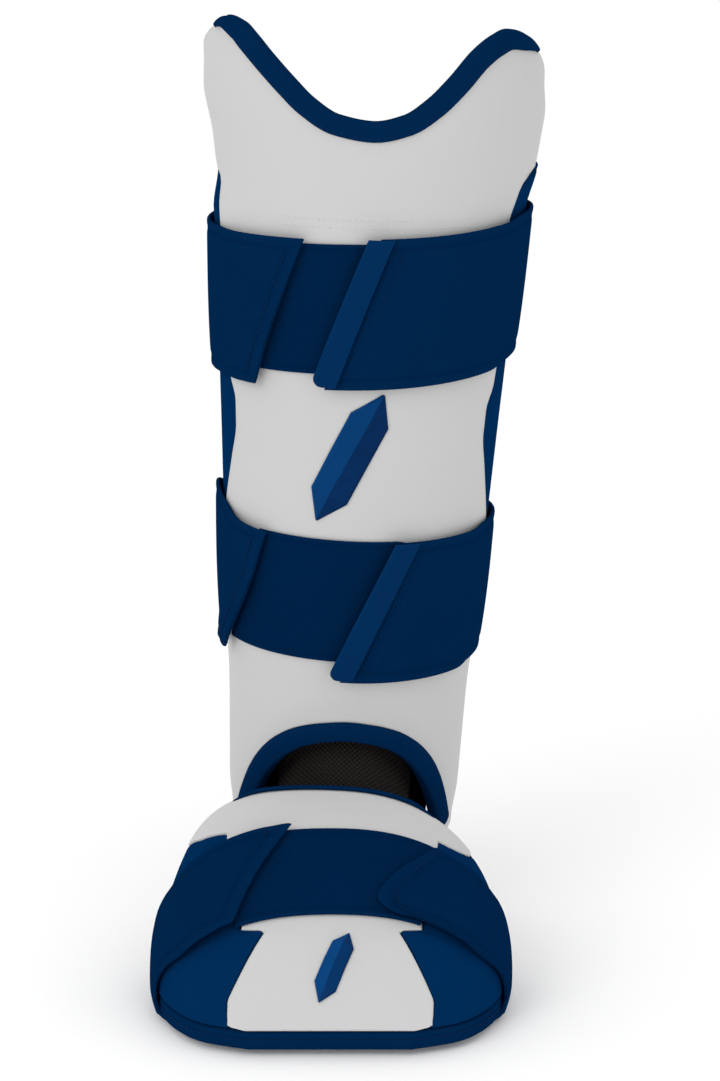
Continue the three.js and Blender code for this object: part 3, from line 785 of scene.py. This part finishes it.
def make_wing(name, sign, top, lifted):
    """Side panel beside the shell. Its upper end can stand a little off the pad."""
    share, column, full = piece_grid(WING_THICKNESS, (WING_LENGTH, 70), (55, 22))
    at = mix(WING_BOTTOM, top, share)
    height = at * LEG_HEIGHT
    start = shell_side(sign, height) + 0.5
    back = 90 + along(WING, at, "back")
    angle = sign * mix(start, back, column)
    edge = border((column, 45), (share, WING_LENGTH))
    middle = WING_IN + WING_THICKNESS / 2 + lifted * ease(344, 361, height)
    piece = layer(
        name, leg_point, angle, height, middle, WING_THICKNESS, full, wing_finish, edge
    )
    dress(piece, f"side_{name}")


# Binding tape folded over an edge of the shin part
def tape_profile(front, back, rise, width, inside):
    """Middle line of the folded tape: distance off the pad's outer face and inside the edge."""
    flank = np.linspace(width, 0, 10)
    turn = np.radians(np.linspace(0, 180, 15))[1:-1]
    centre, reach = (front + back) / 2, (front - back) / 2
    off = np.concatenate([
        front + 0.55 * np.sin(np.pi * flank / width),
        centre + reach * np.sign(np.cos(turn)) * abs(np.cos(turn)) ** 0.6,
        np.full(8, back),
    ])
    inset = np.concatenate([flank, -rise * np.sin(turn) ** 0.6, np.linspace(0, inside, 8)])
    return np.stack([off, inset], -1)


def profile_normals(profile):
    """Directions off a profile, square to it."""
    slope = unit(np.gradient(profile, axis=0))
    return np.stack([-slope[:, 1], slope[:, 0]], -1)


def end_fullness(count, second):
    """How full each of a row of places is: nothing at both ends and all between."""
    full = np.ones(count)
    full[[0, -1]] = 0
    full[[1, -2]] = second
    return full


def make_tape(name, node, edge, reach, inward, fading=None):
    """Fading holds the angles on the left and right between which the front flap runs out."""
    middle = TAPE_THICKNESS / 2
    front = SHELL_IN + SHELL_EDGE_THICKNESS + GAP + middle
    back = -PAD_EDGE - GAP - middle
    width = TAPE_WIDTH - (0.6 if inward > 0 else 1.5)
    profile = tape_profile(front, back, GAP / 2 + middle, width, TAPE_WIDTH * 0.8)
    normal = profile_normals(profile)
    angles = np.linspace(-reach, reach, 190)
    full = np.outer(end_fullness(len(profile), 0.8), end_fullness(len(angles), 0.75))
    high = edge(angles)
    degree = leg_degree(angles, high)
    run, climb = np.gradient(angles) * degree, np.gradient(high)
    length = np.hypot(run, climb) * inward
    keep = np.ones(len(angles))
    if fading:
        first, last = np.where(angles < 0, *(np.array(pair)[:, None] for pair in fading))
        keep = 1 - np.clip((abs(angles) - first) / (last - first), 0, 1) ** 2.1
    on_front = profile[:, :1] > (front + back) / 2
    crest = profile[:, 1].min() + 1.2
    drawn = crest + (profile[:, 1:] - crest) * np.maximum(keep, 0.02)
    sunk = ease(0.25, 0, keep)
    lowered = 1.1 * sunk

    def spot(off, inset):
        """Points for columns of offsets and insets, one row for each place of the profile."""
        turned = angles - climb / length * inset / degree
        return leg_point(turned, high + run / length * inset, off)

    def side(sign):
        outward = middle * sign * full
        inset = np.where(on_front, drawn, profile[:, 1:]) + lowered
        off = np.where(on_front, mix(profile[:, :1], 0.4, sunk), profile[:, :1])
        return spot(off + normal[:, :1] * outward, inset + normal[:, 1:] * outward)

    row = np.arange(len(profile), dtype=float)
    rim = np.broadcast_to(np.minimum(row, len(profile) - row)[:, None], full.shape)
    piece = closed_cloth(name, side(1), side(-1), tape_finish, np.stack([rim, rim + 20], -1))
    dress(piece, node)
    sewn = keep > 0.97
    row = np.full(len(angles), width - 1.7)
    line = spot(np.full(len(angles), front + middle + 0.28), row)
    out = spot(np.full(len(angles), front + 3), row) - line
    stitches(f"{name}_stitches", node, line[sewn][2:-2], out[sewn][2:-2], dark_thread)


def flap_end(ends, share):
    """Angle of the left flap's slanted end, which bulges towards the front."""
    bulge = max(0, ends[1] - ends[0] - 22) * 0.5
    return mix(ends[0], ends[1], share) + bulge * np.sin(np.pi * np.clip(share, 0, 1)) ** 1.3


def strap_level(middle, tilt, angle, share):
    """Height of a place on a strap, which rises towards the right side of the leg."""
    lean = tilt * np.sin(np.radians(angle)) * LEG_WIDTH / 2
    return middle + (share - 0.5) * STRAP_WIDTH + lean + (3 + 40 * tilt) * bump(angle - 88, 42)


def left_lift(rise, angle, share):
    """The left side of the lower strap is pulled up, most at its upper edge."""
    return rise * (0.64 + 0.36 * share) * bump(angle - 272, 26)


def flap_lift(to_end, share):
    """How far the left flap stands off near its free end."""
    return 1.5 * bump(to_end, 9) * (0.45 + 0.55 * np.sin(share * 3.4 + 0.35))


def make_landing(prefix, middle, tilt, ends, centre):
    """Fastening patch under the strap ends. Centre is its place across the strap."""
    row, column, full = piece_grid(LANDING_THICKNESS, (LANDING_WIDTH, 36), (LANDING_LENGTH, 60))
    share = centre + (row - 0.5) * LANDING_WIDTH / STRAP_WIDTH
    left = np.minimum(-LANDING_REACH, flap_end(ends, share) - 6)
    angle = mix(left, LANDING_REACH, column)
    tucked = 0.03 * ease(ends[3] - 3, ends[3] + 6, angle) * row
    height = strap_level(middle, tilt, angle, share - tucked)
    edge = border((row, LANDING_WIDTH), (column, LANDING_LENGTH))
    piece = layer(
        f"{prefix}_fastening_patch", leg_point, angle, height, LANDING_IN + LANDING_THICKNESS / 2,
        LANDING_THICKNESS, full, patch_finish, edge,
    )
    dress(piece, f"{prefix}_landing")


def make_strap(prefix, middle, tilt, ends, left_rise):
    """A strap round the leg, from its right end behind the calf to the flap on the left, which
    lifts a little at its free end."""
    left_low, _, right_low, right_high = ends
    share, t, full = piece_grid(STRAP_THICKNESS, (STRAP_WIDTH, 46), (430, 300))
    start = mix(right_low, right_high, share)
    end = 360 + flap_end(ends, share)
    straight, slant = right_high + 14, 350 + left_low
    first, last = (straight - right_low) / 360, (slant - right_low) / 360
    between = mix(straight, slant, (t - first) / (last - first))
    flap = mix(slant, end, (t - last) / (1 - last))
    angle = np.where(
        t < first, mix(start, straight, t / first), np.where(t < last, between, flap)
    )
    off_front = abs((angle + 180) % 360 - 180)
    height = strap_level(middle, tilt, angle, share)
    height = height + left_lift(left_rise, angle, share)
    degree = leg_degree(angle, height) * 0.9
    to_left, to_right = (end - angle) * degree, (angle - start) * degree
    rim = np.minimum(share, 1 - share) * STRAP_WIDTH
    pucker = 0.3 * np.sin(share * STRAP_WIDTH / 0.95 + np.sin(share * 21)) * bump(to_left, 6)
    seam = -0.35 * (bump(to_left - 5, 1.6) + bump(rim - 4.5, 1.5))
    crown = 0.6 * (4 * share * (1 - share)) ** 0.7
    reach = np.maximum(np.where(angle > 180, 8 - flap_end(ends, share), 0), LANDING_REACH + 10)
    stand = mix(STRAP_IN, LANDING_IN, ease(reach, reach + 14, off_front))
    soft = ripple(angle * 1.15, share * STRAP_WIDTH, 0.7)
    out = stand + STRAP_THICKNESS / 2 + flap_lift(to_left, share) + abs(pucker) + soft
    half = STRAP_THICKNESS / 2 * full
    puff = (crown + seam) * full
    edge = np.stack([rim, np.minimum(to_left, to_right)], -1)
    piece = closed_cloth(
        f"{prefix}_strap_band",
        leg_point(angle, height, out + half + puff),
        leg_point(angle, height, out - half),
        strap_finish,
        edge,
    )
    dress(piece, f"{prefix}_strap")
    inset = 5 / leg_degree(0, middle) / 0.9
    near = np.linspace(0.07, 0.93, 60)
    on_top = STRAP_IN + STRAP_THICKNESS + 0.8

    def sewn(label, angles, lifted):
        levels = strap_level(middle, tilt, angles, near) + left_lift(left_rise, angles, near)
        line = leg_point(angles, levels, lifted)
        above = leg_point(angles, levels, lifted + 2)
        stitches(f"{prefix}_{label}", f"{prefix}_strap", line, above - line, dark_thread)

    sewn("flap_end_stitches", 360 + flap_end(ends, near) - inset, on_top + flap_lift(5, near))
    sewn("pull_end_stitches", mix(right_low, right_high, near) + inset * 1.9, on_top)


def make_tab(prefix, middle, tilt, ends):
    """Slanted pull tab over the end of the strap, with one rounded lower corner."""
    share, column, full = piece_grid(TAB_THICKNESS, (STRAP_WIDTH, 50), (TAB_WIDTH, 14))
    centre = mix(ends[2], ends[3], share)
    height = strap_level(middle, tilt, centre, mix(0.025, 1.0, share))
    depth = np.clip(1 - share * STRAP_WIDTH / TAB_CORNER, 0, 1)
    left = TAB_CORNER * (1 - np.sqrt(np.maximum(0, 1 - depth**2))) - TAB_WIDTH / 2
    angle = centre + mix(left, TAB_WIDTH / 2, column) / leg_degree(centre, height)
    crown = 0.35 * (4 * column * (1 - column)) ** 0.6
    out = TAB_IN + TAB_THICKNESS / 2 + 0.9 + ripple(share * 30, column * 9, 0.3)
    edge = border((column, TAB_WIDTH), (share, STRAP_WIDTH))
    piece = closed_cloth(
        f"{prefix}_pull_tab",
        leg_point(angle, height, out + TAB_THICKNESS / 2 * full + crown * full),
        leg_point(angle, height, out - TAB_THICKNESS / 2 * full),
        tab_finish,
        edge,
    )
    dress(piece, f"{prefix}_tab")


UPPER_STRAP_HEIGHT = 303.5
LOWER_STRAP_HEIGHT = 168

# Straps: height, tilt, angles of the slanted ends (left low and high, right low and high), place of
# the patch across the strap, and how far the left side is pulled up
STRAPS = (
    ("upper", UPPER_STRAP_HEIGHT, 0.05, (-42, -21.8, -13.8, 4.1), 0.53, 0),
    ("lower", LOWER_STRAP_HEIGHT, 0, (-67, -37, -4, 20), 1 - LANDING_WIDTH / STRAP_WIDTH / 2, 11),
)

make_shin_pad()
make_shin_shell()
make_wing("wing_left", -1, 0.85, 0)
make_wing("wing_right", 1, 0.857, 2)
make_tape(
    "knee_edge_binding", "knee_binding", knee_height, PAD_BACK, -1, fading=((45, 69), (47, 71))
)
make_tape("arch_edge_binding", "arch_binding", arch_height, 61.5, 1)

# Two rows of stitches above the upper strap
seam_angles = np.linspace(-33, 40, 60)
for number, seam_height in ((1, 340.5), (2, 344)):
    seam_level = seam_height + 0.03 * seam_angles
    seam_line = leg_point(seam_angles, seam_level, SHELL_OUT + 0.02)
    stitches(
        f"shell_seam_{number}", "shin_shell", seam_line,
        leg_point(seam_angles, seam_level, SHELL_OUT + 2) - seam_line, grey_thread,
        pitch=2.7, length=1.2, radius=0.2,
    )
for *strap, centre, _ in STRAPS:
    make_landing(*strap, centre)
for *strap, _, left_rise in STRAPS:
    make_strap(*strap, left_rise)
for *strap, _, _ in STRAPS:
    make_tab(*strap)


# Foot cap: light panel down the middle, side panels, rim, bands and strap
PANEL = table(
    "at half",
    (0, 0.444), (0.026, 0.549), (0.05, 0.56), (0.09, 0.562), (0.3, 0.365), (0.315, 0.5),
    (0.5, 0.5), (0.74, 0.6),
)

# Slanted back ends of the side panels: place across the cap, distance behind the toe
SIDE_END = table(
    "at end",
    (-0.7, 96.5), (-0.66, 93.3), (-0.565, 84.8), (-0.475, 80.3), (-0.405, 77), (-0.395, 72),
    (0.395, 72), (0.405, 78), (0.467, 79), (0.518, 81.6), (0.575, 88.1), (0.62, 95), (0.64, 96.5),
)
FOOT_ENDS = (-0.36, -0.14, 0.1, 0.365)
RIM_THICKNESS = 6.6
TOE_LEVEL = FOOT_LENGTH * FOOT["at"][1]


def panel_side(behind):
    half = np.interp(behind / FOOT_LENGTH, PANEL["at"], PANEL["half"]) * FOOT_WIDTH / 2
    return foot_side(half, behind)


def side_end(side):
    """How far behind the toe the side panels reach."""
    return np.interp(side, SIDE_END["at"], SIDE_END["end"])


def foot_grid(start, end, thickness, steps, wide):
    """Places behind the toe, closer together where the nose of the cap turns down."""
    row, column, full = piece_grid(thickness, (110, steps), wide)
    return mix(start, end, 0.35 * row + 0.65 * row**1.7), column, full


def make_foot_pad():
    behind, column, full = foot_grid(0, FOOT_LENGTH, FOOT_PAD_THICKNESS, 66, (250, 120))
    side = mix(-1, 1, column)
    thick = FOOT_PAD_THICKNESS + ripple(side * 70, behind, 0.4)
    half, middle = thick / 2 * full, -thick / 2
    piece = closed_cloth(
        "foot_padding",
        foot_point(side, behind, np.minimum(middle + half, 0)),
        foot_point(side, behind, middle - half),
        pad_finish,
    )
    dress(piece, "foot_pad")


def closed_mask(name, outer, inner, filled, finish, weave, edge):
    """A closed piece over the filled squares of a grid, with walls along its cut border."""
    high, wide = outer.shape[:2]
    index = np.arange(high * wide).reshape(high, wide)
    quads = grid_faces(index).reshape(high - 1, wide - 1, 4)
    front = quads[filled]
    back = front[:, ::-1] + high * wide
    turns = np.concatenate([np.stack([front[:, k], front[:, (k + 1) % 4]], -1) for k in range(4)])
    known = {tuple(pair) for pair in turns.tolist()}
    walls = [(b, a, a + high * wide, b + high * wide) for a, b in known if (b, a) not in known]
    faces = np.concatenate([front, back, np.array(walls)])
    points = np.concatenate([outer.reshape(-1, 3), inner.reshape(-1, 3)])
    used = np.unique(faces)
    number = np.zeros(len(points), int)
    number[used] = np.arange(len(used))
    piece = new_mesh(name, points[used], number[faces].tolist(), finish)
    for label, values in (("weave", weave), ("edge", edge)):
        write_vectors(piece, label, np.tile(values.reshape(-1, 2), (2, 1))[used])
    return piece


def make_foot_shell():
    """Light panel: between the side panels at the front, out to both sides of the cap behind."""
    front_rows, back_rows, spare = 62, 26, 24
    before = SIDE_PANEL_END * np.linspace(0, 1, front_rows) ** 1.2
    level = np.concatenate([before, np.full(back_rows, float(SIDE_PANEL_END))])[:, None]
    edge = panel_side(level)
    flank = mix(edge, 1, np.linspace(0, 1, spare + 1)[1:])
    side = np.concatenate([-flank[:, ::-1], edge * np.linspace(-1, 1, 72), flank], 1)
    behind = np.broadcast_to(level, side.shape).copy()
    after = np.linspace(0, 1, back_rows)[:, None]
    behind[front_rows:] = mix(side_end(side[front_rows:]) + GAP, FOOT_LENGTH, after)
    middle = (FOOT_IN + FOOT_SHELL_OUT) / 2
    half = FOOT_SHELL_THICKNESS / 2
    to_side = np.where(behind <= SIDE_PANEL_END, edge, 1) - abs(side)
    to_edge = np.minimum(to_side * 110, FOOT_LENGTH - behind + 3)
    thin = np.clip(to_edge / half, 0, 1)
    half = half * np.sqrt(np.maximum(0.12, 1 - (1 - thin) ** 2))
    filled = np.ones((side.shape[0] - 1, side.shape[1] - 1), bool)
    filled[:front_rows, :spare] = False
    filled[:front_rows, -spare:] = False
    flank_end = side_end((side[front_rows, 1:] + side[front_rows, :-1]) / 2)
    filled[front_rows:, flank_end > FOOT_LENGTH - 2] = False
    spot = foot_point(side, behind, middle)
    weave = np.stack([running(spot, 1), running(spot, 0)], -1)
    piece = closed_mask(
        "light_foot_panel", foot_point(side, behind, middle + half),
        foot_point(side, behind, middle - half), filled, foot_shell_finish, weave,
        np.stack([to_edge, to_edge + 9], -1),
    )
    dress(piece, "foot_shell")


def make_foot_side(hand, sign):
    level, column, full = foot_grid(
        TOE_LEVEL, SIDE_PANEL_END, FOOT_SIDE_THICKNESS, 70, (SIDE_PANEL_WIDTH, 44)
    )
    side = sign * mix(panel_side(level) + 0.008, 1, column)
    share = (level - TOE_LEVEL) / (SIDE_PANEL_END - TOE_LEVEL)
    behind = level + (side_end(side) - SIDE_PANEL_END) * ease(0.45, 1, share)
    to_end = np.minimum(behind - TOE_LEVEL + 3, side_end(side) - behind)
    piece = layer(
        f"side_panel_{hand}", foot_point, side, behind, FOOT_IN + FOOT_SIDE_THICKNESS / 2,
        FOOT_SIDE_THICKNESS, full, side_finish,
        np.stack([column * SIDE_PANEL_WIDTH, to_end], -1),
    )
    dress(piece, f"foot_side_{hand}")


def make_rim():
    """Padded binding along the lower edge of the cap, from one heel side round the toe."""
    back = np.linspace(FOOT_LENGTH, TOE_LEVEL, 74)
    nose = TOE_LEVEL * (1 - np.linspace(0, 1, 9)[1:-1])
    flank = np.concatenate([back, nose])
    toe = np.linspace(-1, 1, 60)
    side = np.concatenate([-np.ones(len(flank)), toe, np.ones(len(flank))])
    behind = np.concatenate([flank, np.zeros(len(toe)), flank[::-1]])
    turn = np.linspace(0, 1, 20)
    high = mix(RIM_TOP - GAP, RIM_BOTTOM, turn)
    out = RIM_THICKNESS * (0.08 + 0.26 * np.sin(np.pi * np.clip(turn * 0.8 + 0.14, 0, 1)) ** 0.6)
    out = out - RIM_THICKNESS * 0.3 * np.clip((turn - 0.86) / 0.14, 0, 1) ** 2
    from_seam = (turn[:, None] - RIM_SEAM) * 12
    out = out[:, None] - 0.35 * bump(from_seam, 1.1)

    def at_height(outward, height):
        spots = foot_point(side, behind, outward)
        spots[..., 2] = height - SEAT_HEIGHT
        return spots

    base = at_height(out, high[:, None])
    inner = at_height(np.full_like(out, -RIM_THICKNESS * 0.8), high[:, None])
    place = np.arange(len(side))
    base[4:12, :, 2] += 0.12 * np.sin(place * 0.9)
    share = np.clip(np.minimum(turn, 1 - turn) / 0.08, 0, 1)[:, None]
    ends = np.clip(np.minimum(place, place[::-1]) / 2, 0, 1)
    fullness = np.sqrt(share * ends)[..., None]
    middle = (base + inner) / 2
    edge = np.stack([np.broadcast_to(abs(from_seam), base.shape[:2])] * 2, -1)
    piece = closed_cloth(
        "toe_rim", mix(middle, base, fullness), mix(middle, inner, fullness), rim_finish, edge
    )
    dress(piece, "foot_rim")
    row = at_height(out[8] + 0.3, high[8])[3:-3]
    outward = at_height(out[8] + 3, high[8])[3:-3] - row
    stitches("toe_rim_stitches", "foot_rim", row, outward, dark_thread)


def make_foot_binding():
    half = 0.5
    profile = tape_profile(0.9, -FOOT_PAD_THICKNESS - GAP - half, GAP + half, 0.2, 3)
    normal = profile_normals(profile)
    side = np.linspace(-1, 1, 170)
    full = np.outer(end_fullness(len(profile), 0.8), end_fullness(len(side), 0.75))
    raised = 2.9 * (1 - ease(0.28, 0.5, abs(side))) * (profile[:, :1] > 0)

    def face(sign):
        reach = half * sign * full
        off = profile[:, :1] + raised + normal[:, :1] * reach
        inset = profile[:, 1:] + normal[:, 1:] * reach
        return foot_point(side[None], FOOT_LENGTH - inset, off)

    dress(closed_cloth("instep_binding", face(1), face(-1), tape_finish), "foot_top_binding")


def band_curve(side):
    """How far the strap over the cap runs forward towards its sides."""
    return 10 * np.sin(np.radians(90 * np.minimum(1, abs(side)))) ** 2


def make_foot_landing():
    length = 90
    row, column, full = piece_grid(LANDING_THICKNESS, (FOOT_STRAP_WIDTH, 26), (length, 56))
    side = mix(-0.37, mix(0.34, 0.41, row), column)
    behind = mix(FOOT_STRAP_FRONT, FOOT_STRAP_BACK, row) - band_curve(side)
    piece = layer(
        "foot_fastening_patch", foot_point, side, behind, FOOT_LANDING_IN + LANDING_THICKNESS / 2,
        LANDING_THICKNESS, full, patch_finish, border((row, FOOT_STRAP_WIDTH), (column, length)),
    )
    dress(piece, "foot_landing")


def foot_corner(share):
    """Cuts the front corner of the right end round."""
    depth = np.clip(1 - share / 0.26, 0, 1)
    return 0.19 * (1 - np.sqrt(1 - depth**2))


def make_foot_strap():
    """Strap under the sole, up both sides and slanted ends over the fastening patch."""
    left_low, left_high, right_low, right_high = FOOT_ENDS
    share, t, full = piece_grid(STRAP_THICKNESS, (FOOT_STRAP_WIDTH, 36), (420, 330))
    start = mix(right_low, right_high, share) + foot_corner(share)
    end = 6 + mix(left_low, left_high, share)
    place = mix(start, end, t)
    side = np.where(place > 3, place - 6, place)
    top = np.minimum(1, abs(side))
    drop = mix(band_curve(side), 0, ease(0.5, 1, top))
    short = 3.6 * ease(0.2, 0.3, side) * (1 - ease(0.45, 0.75, side)) * share
    behind = mix(FOOT_STRAP_FRONT, FOOT_STRAP_BACK, share) - drop - short
    stand = mix(FOOT_STRAP_IN, FOOT_LANDING_IN, ease(0.54, 0.7, top))
    on_top = 1 - ease(0.72, 0.98, abs(side))
    to_left, to_right = (end - place) * 62, (place - start) * 62
    rim = np.minimum(share, 1 - share) * FOOT_STRAP_WIDTH
    near_end = np.minimum(to_left, to_right)
    pucker = 0.28 * (0.5 + 0.5 * np.sin(share * FOOT_STRAP_WIDTH / 0.8)) * bump(near_end, 5)
    lift = 1.1 * bump(to_left, 8) * (0.5 + 0.5 * np.sin(share * 3 + 0.4)) + 0.3 * bump(to_right, 5)
    soft = ripple(place * 60, share * FOOT_STRAP_WIDTH, 0.6)
    seam = -0.3 * (bump(near_end - 4, 1.4) + bump(rim - 3.6, 1.4))
    half = STRAP_THICKNESS / 2 * full
    puff = (0.45 * (4 * share * (1 - share)) ** 0.7 + seam) * on_top * full
    middle = stand + STRAP_THICKNESS / 2 + (lift + pucker + soft) * on_top
    sole = GAP + STRAP_THICKNESS / 2
    edge = np.stack([rim, near_end], -1)
    drawn_in = 4.5 * ease(1.05, 1.9, abs(side)) * np.clip(3 - abs(side), 0, 1)
    toward = -np.sign(side)[..., None] * np.array([1, 0, 0]) * drawn_in[..., None]
    piece = closed_cloth(
        "foot_strap_band",
        foot_point(side, behind, middle + half + puff, sole + half) + toward,
        foot_point(side, behind, middle - half, sole - half) + toward,
        foot_strap_finish,
        edge,
    )
    dress(piece, "foot_strap")
    near = np.linspace(0.08, 0.92, 40)

    def sewn(hand, sides, inset):
        behind_at = mix(FOOT_STRAP_FRONT, FOOT_STRAP_BACK, near) - band_curve(sides)
        line = foot_point(sides + inset, behind_at, FOOT_STRAP_IN + STRAP_THICKNESS + 0.95)
        above = foot_point(sides + inset, behind_at, FOOT_STRAP_IN + STRAP_THICKNESS + 3)
        stitches(
            f"foot_{hand}_end_stitches", "foot_strap", line, above - line, dark_thread,
            pitch=2.6, length=1.8,
        )

    sewn("left", mix(left_low, left_high, near), -0.06)
    sewn("right", mix(right_low, right_high, near) + foot_corner(near), 0.06)


# Faceted badges: a long leaning bar, pointed at both ends, with a ridge along its middle
BADGE = table(
    "at half rise",
    (-0.5, 0.03, 0.25), (-0.3, 0.5, 0.8), (0, 0.5, 1), (0.3, 0.5, 0.8), (0.5, 0.03, 0.25),
)
BADGE_LEAN = 24
BADGE_RISE = 3.4


def make_badge(name, node, length, width, place):
    turn = math.radians(BADGE_LEAN)
    shares = np.array([-1, -0.86, 0, 0.86, 1])
    crest = np.array([0.12, 0.3, 1, 0.3, 0.12])
    at = BADGE["at"][:, None] * length * np.ones(5)
    across = BADGE["half"][:, None] * shares * width
    rise = BADGE_RISE * BADGE["rise"][:, None] * crest
    u = across * math.cos(turn) + at * math.sin(turn)
    v = at * math.cos(turn) - across * math.sin(turn)
    high, wide = u.shape
    top, floor = place(u, v, rise), place(u, v, np.zeros_like(rise))
    points = np.concatenate([top.reshape(-1, 3), floor.reshape(-1, 3)])
    index = np.arange(high * wide).reshape(high, wide)
    faces = grid_faces(index)
    ring = [*index[0], *index[1:, -1], *index[-1, -2::-1], *index[-2:0:-1, 0]]
    walls = [
        (ring[k], ring[k - 1], ring[k - 1] + high * wide, ring[k] + high * wide)
        for k in range(len(ring))
    ]
    faces = np.concatenate([faces, faces[:, ::-1] + high * wide, np.array(walls)])
    first = points[faces[0]]
    outward = np.cross(first[1] - first[0], first[2] - first[0])
    if outward @ (points[0] - points[high * wide]) < 0:
        faces = faces[:, ::-1]
    piece = dress(new_mesh(name, points, faces.tolist(), badge_finish, flat=True), node)
    normals = np.array([face.normal for face in piece.data.polygons], float)
    # Painted light: a facet is coloured lighter the more it faces up, left and to the front
    painted_facet_light = np.maximum(0, 0.05 + 0.62 * normals @ np.array([-0.62, -0.3, 0.72]))
    write_vectors(piece, "facet_light", np.stack([painted_facet_light, painted_facet_light], -1), painted_facet_light, "FACE")


SHIN_BADGE_HEIGHT = (UPPER_STRAP_HEIGHT + LOWER_STRAP_HEIGHT) / 2 + 3


def shin_badge_place(u, v, out):
    angle = -4 + u / leg_degree(0, SHIN_BADGE_HEIGHT)
    return leg_point(angle, SHIN_BADGE_HEIGHT + v, LANDING_IN + 0.1 + out)


def foot_badge_place(u, v, out):
    behind = FOOT_STRAP_FRONT * 0.48 + v * 0.72
    return foot_point(foot_side(u + 1, behind), behind, FOOT_SHELL_OUT + GAP + 0.1 + out)


# Woven web from inside the arch to under the cap: shares of 20 mm above the arch's edge, of 18 mm
# behind the cap's and of 2 mm under the cap, and of the way from the leg to the foot
WEB = table(
    "leg foot drop blend",
    (1, 0, 1, 0), (0.4, 0, 1, 0), (-0.2, 0, 1, 0), (-0.3, 0.22, 1.1, 0.5), (0, 0.22, 1, 1),
    (0, -0.25, 0.95, 1), (0, -0.44, 0.25, 1), (0, -1, 0.25, 1),
)
WEB_THICKNESS = 1.4

# Angles to which the web reaches on the left and right, and its middle band on both sides. Beyond
# the band the web fills the shade beside the webbing and is painted dark as shade
WEB_LEFT = 64
WEB_RIGHT = 72
WEB_BAND = 46


def make_web():
    row, column, full = piece_grid(WEB_THICKNESS, (70, 60), (86, 70))
    last = len(WEB["leg"]) - 1
    share = row * last
    angle = mix(-WEB_LEFT, WEB_RIGHT, column)
    leg, foot, drop, blend = (np.interp(share, np.arange(last + 1), WEB[name]) for name in WEB)

    def spot(out):
        in_leg = -PAD_THICKNESS - 2.4 * TAPE_THICKNESS - out
        on_leg = leg_point(angle, arch_height(angle) + leg * 20, in_leg)
        behind = FOOT_LENGTH + foot * 18
        under = -FOOT_PAD_THICKNESS - drop * 2 - out
        on_foot = foot_point(foot_side(on_leg[..., 0] - FOOT_X, behind), behind, under)
        return mix(on_leg, on_foot, blend[..., None])

    middle, half = WEB_THICKNESS / 2, WEB_THICKNESS / 2 * full
    # Millimetres into the web from its sides; below WEB_SHADED the cloth is painted dark as shade
    past_band = WEB_SHADED + (WEB_BAND - abs(angle)) * 0.67
    edge = np.stack([past_band, np.minimum(share, last - share) * 10], -1)
    piece = closed_cloth("ankle_web", spot(middle - half), spot(middle + half), web_finish, edge)
    dress(piece, "ankle_webbing")


make_foot_pad()
make_foot_shell()
make_foot_side("left", -1)
make_foot_side("right", 1)
make_rim()
make_foot_binding()
make_foot_landing()
make_foot_strap()
make_badge("faceted_shin_badge", "shin_badge", 64, 17, shin_badge_place)
make_badge("faceted_foot_badge", "foot_badge", 30, 9.5, foot_badge_place)
make_web()


# Floor, camera and light, for the picture only
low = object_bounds()[0][2]
corners = [(x * 4000, y * 4000, low / METRE) for x, y in ((-1, -1), (1, -1), (1, 1), (-1, 1))]
floor = new_mesh("pale_floor", corners, [(0, 1, 2, 3)], Surface("floor_white").material)
floor_shader = floor.data.materials[0].node_tree.nodes["Principled BSDF"]
floor_shader.inputs["Base Color"].default_value = (1, 1, 1, 1)
floor_shader.inputs["Roughness"].default_value = 0.9

scene = bpy.context.scene
camera = bpy.data.objects.new("camera", bpy.data.cameras.new("camera"))
scene.collection.objects.link(camera)
camera.data.sensor_width = 36
camera.data.lens = 94.6
camera.location = (0.0005, -1.2645, 0.29965)
camera.rotation_euler = (math.radians(74.5), 0, 0)
scene.camera = camera


def area_light(name, place, target, size, power):
    light = bpy.data.lights.new(name, "AREA")
    light.shape = "DISK"
    light.size = size
    light.energy = power
    lamp = bpy.data.objects.new(name, light)
    lamp.location = place
    direction = np.array(target) - np.array(place)
    flat = math.hypot(direction[0], direction[1])
    lamp.rotation_euler = (
        math.atan2(flat, -direction[2]), 0, math.atan2(direction[1], direction[0]) - math.pi / 2
    )
    scene.collection.objects.link(lamp)


area_light("key_light", (-1.3, -1.5, 1.2), (0, 0, 0), 1.4, 10)
area_light("low_light", (0.5, -1.3, -0.1), (0, 0, -0.15), 0.8, 1.6)
scene.world = bpy.data.worlds.new("studio")
scene.world.use_nodes = True
scene.world.node_tree.nodes["Background"].inputs["Color"].default_value = (1, 1, 1, 1)
scene.world.node_tree.nodes["Background"].inputs["Strength"].default_value = 1.0
scene.view_settings.view_transform = "Standard"
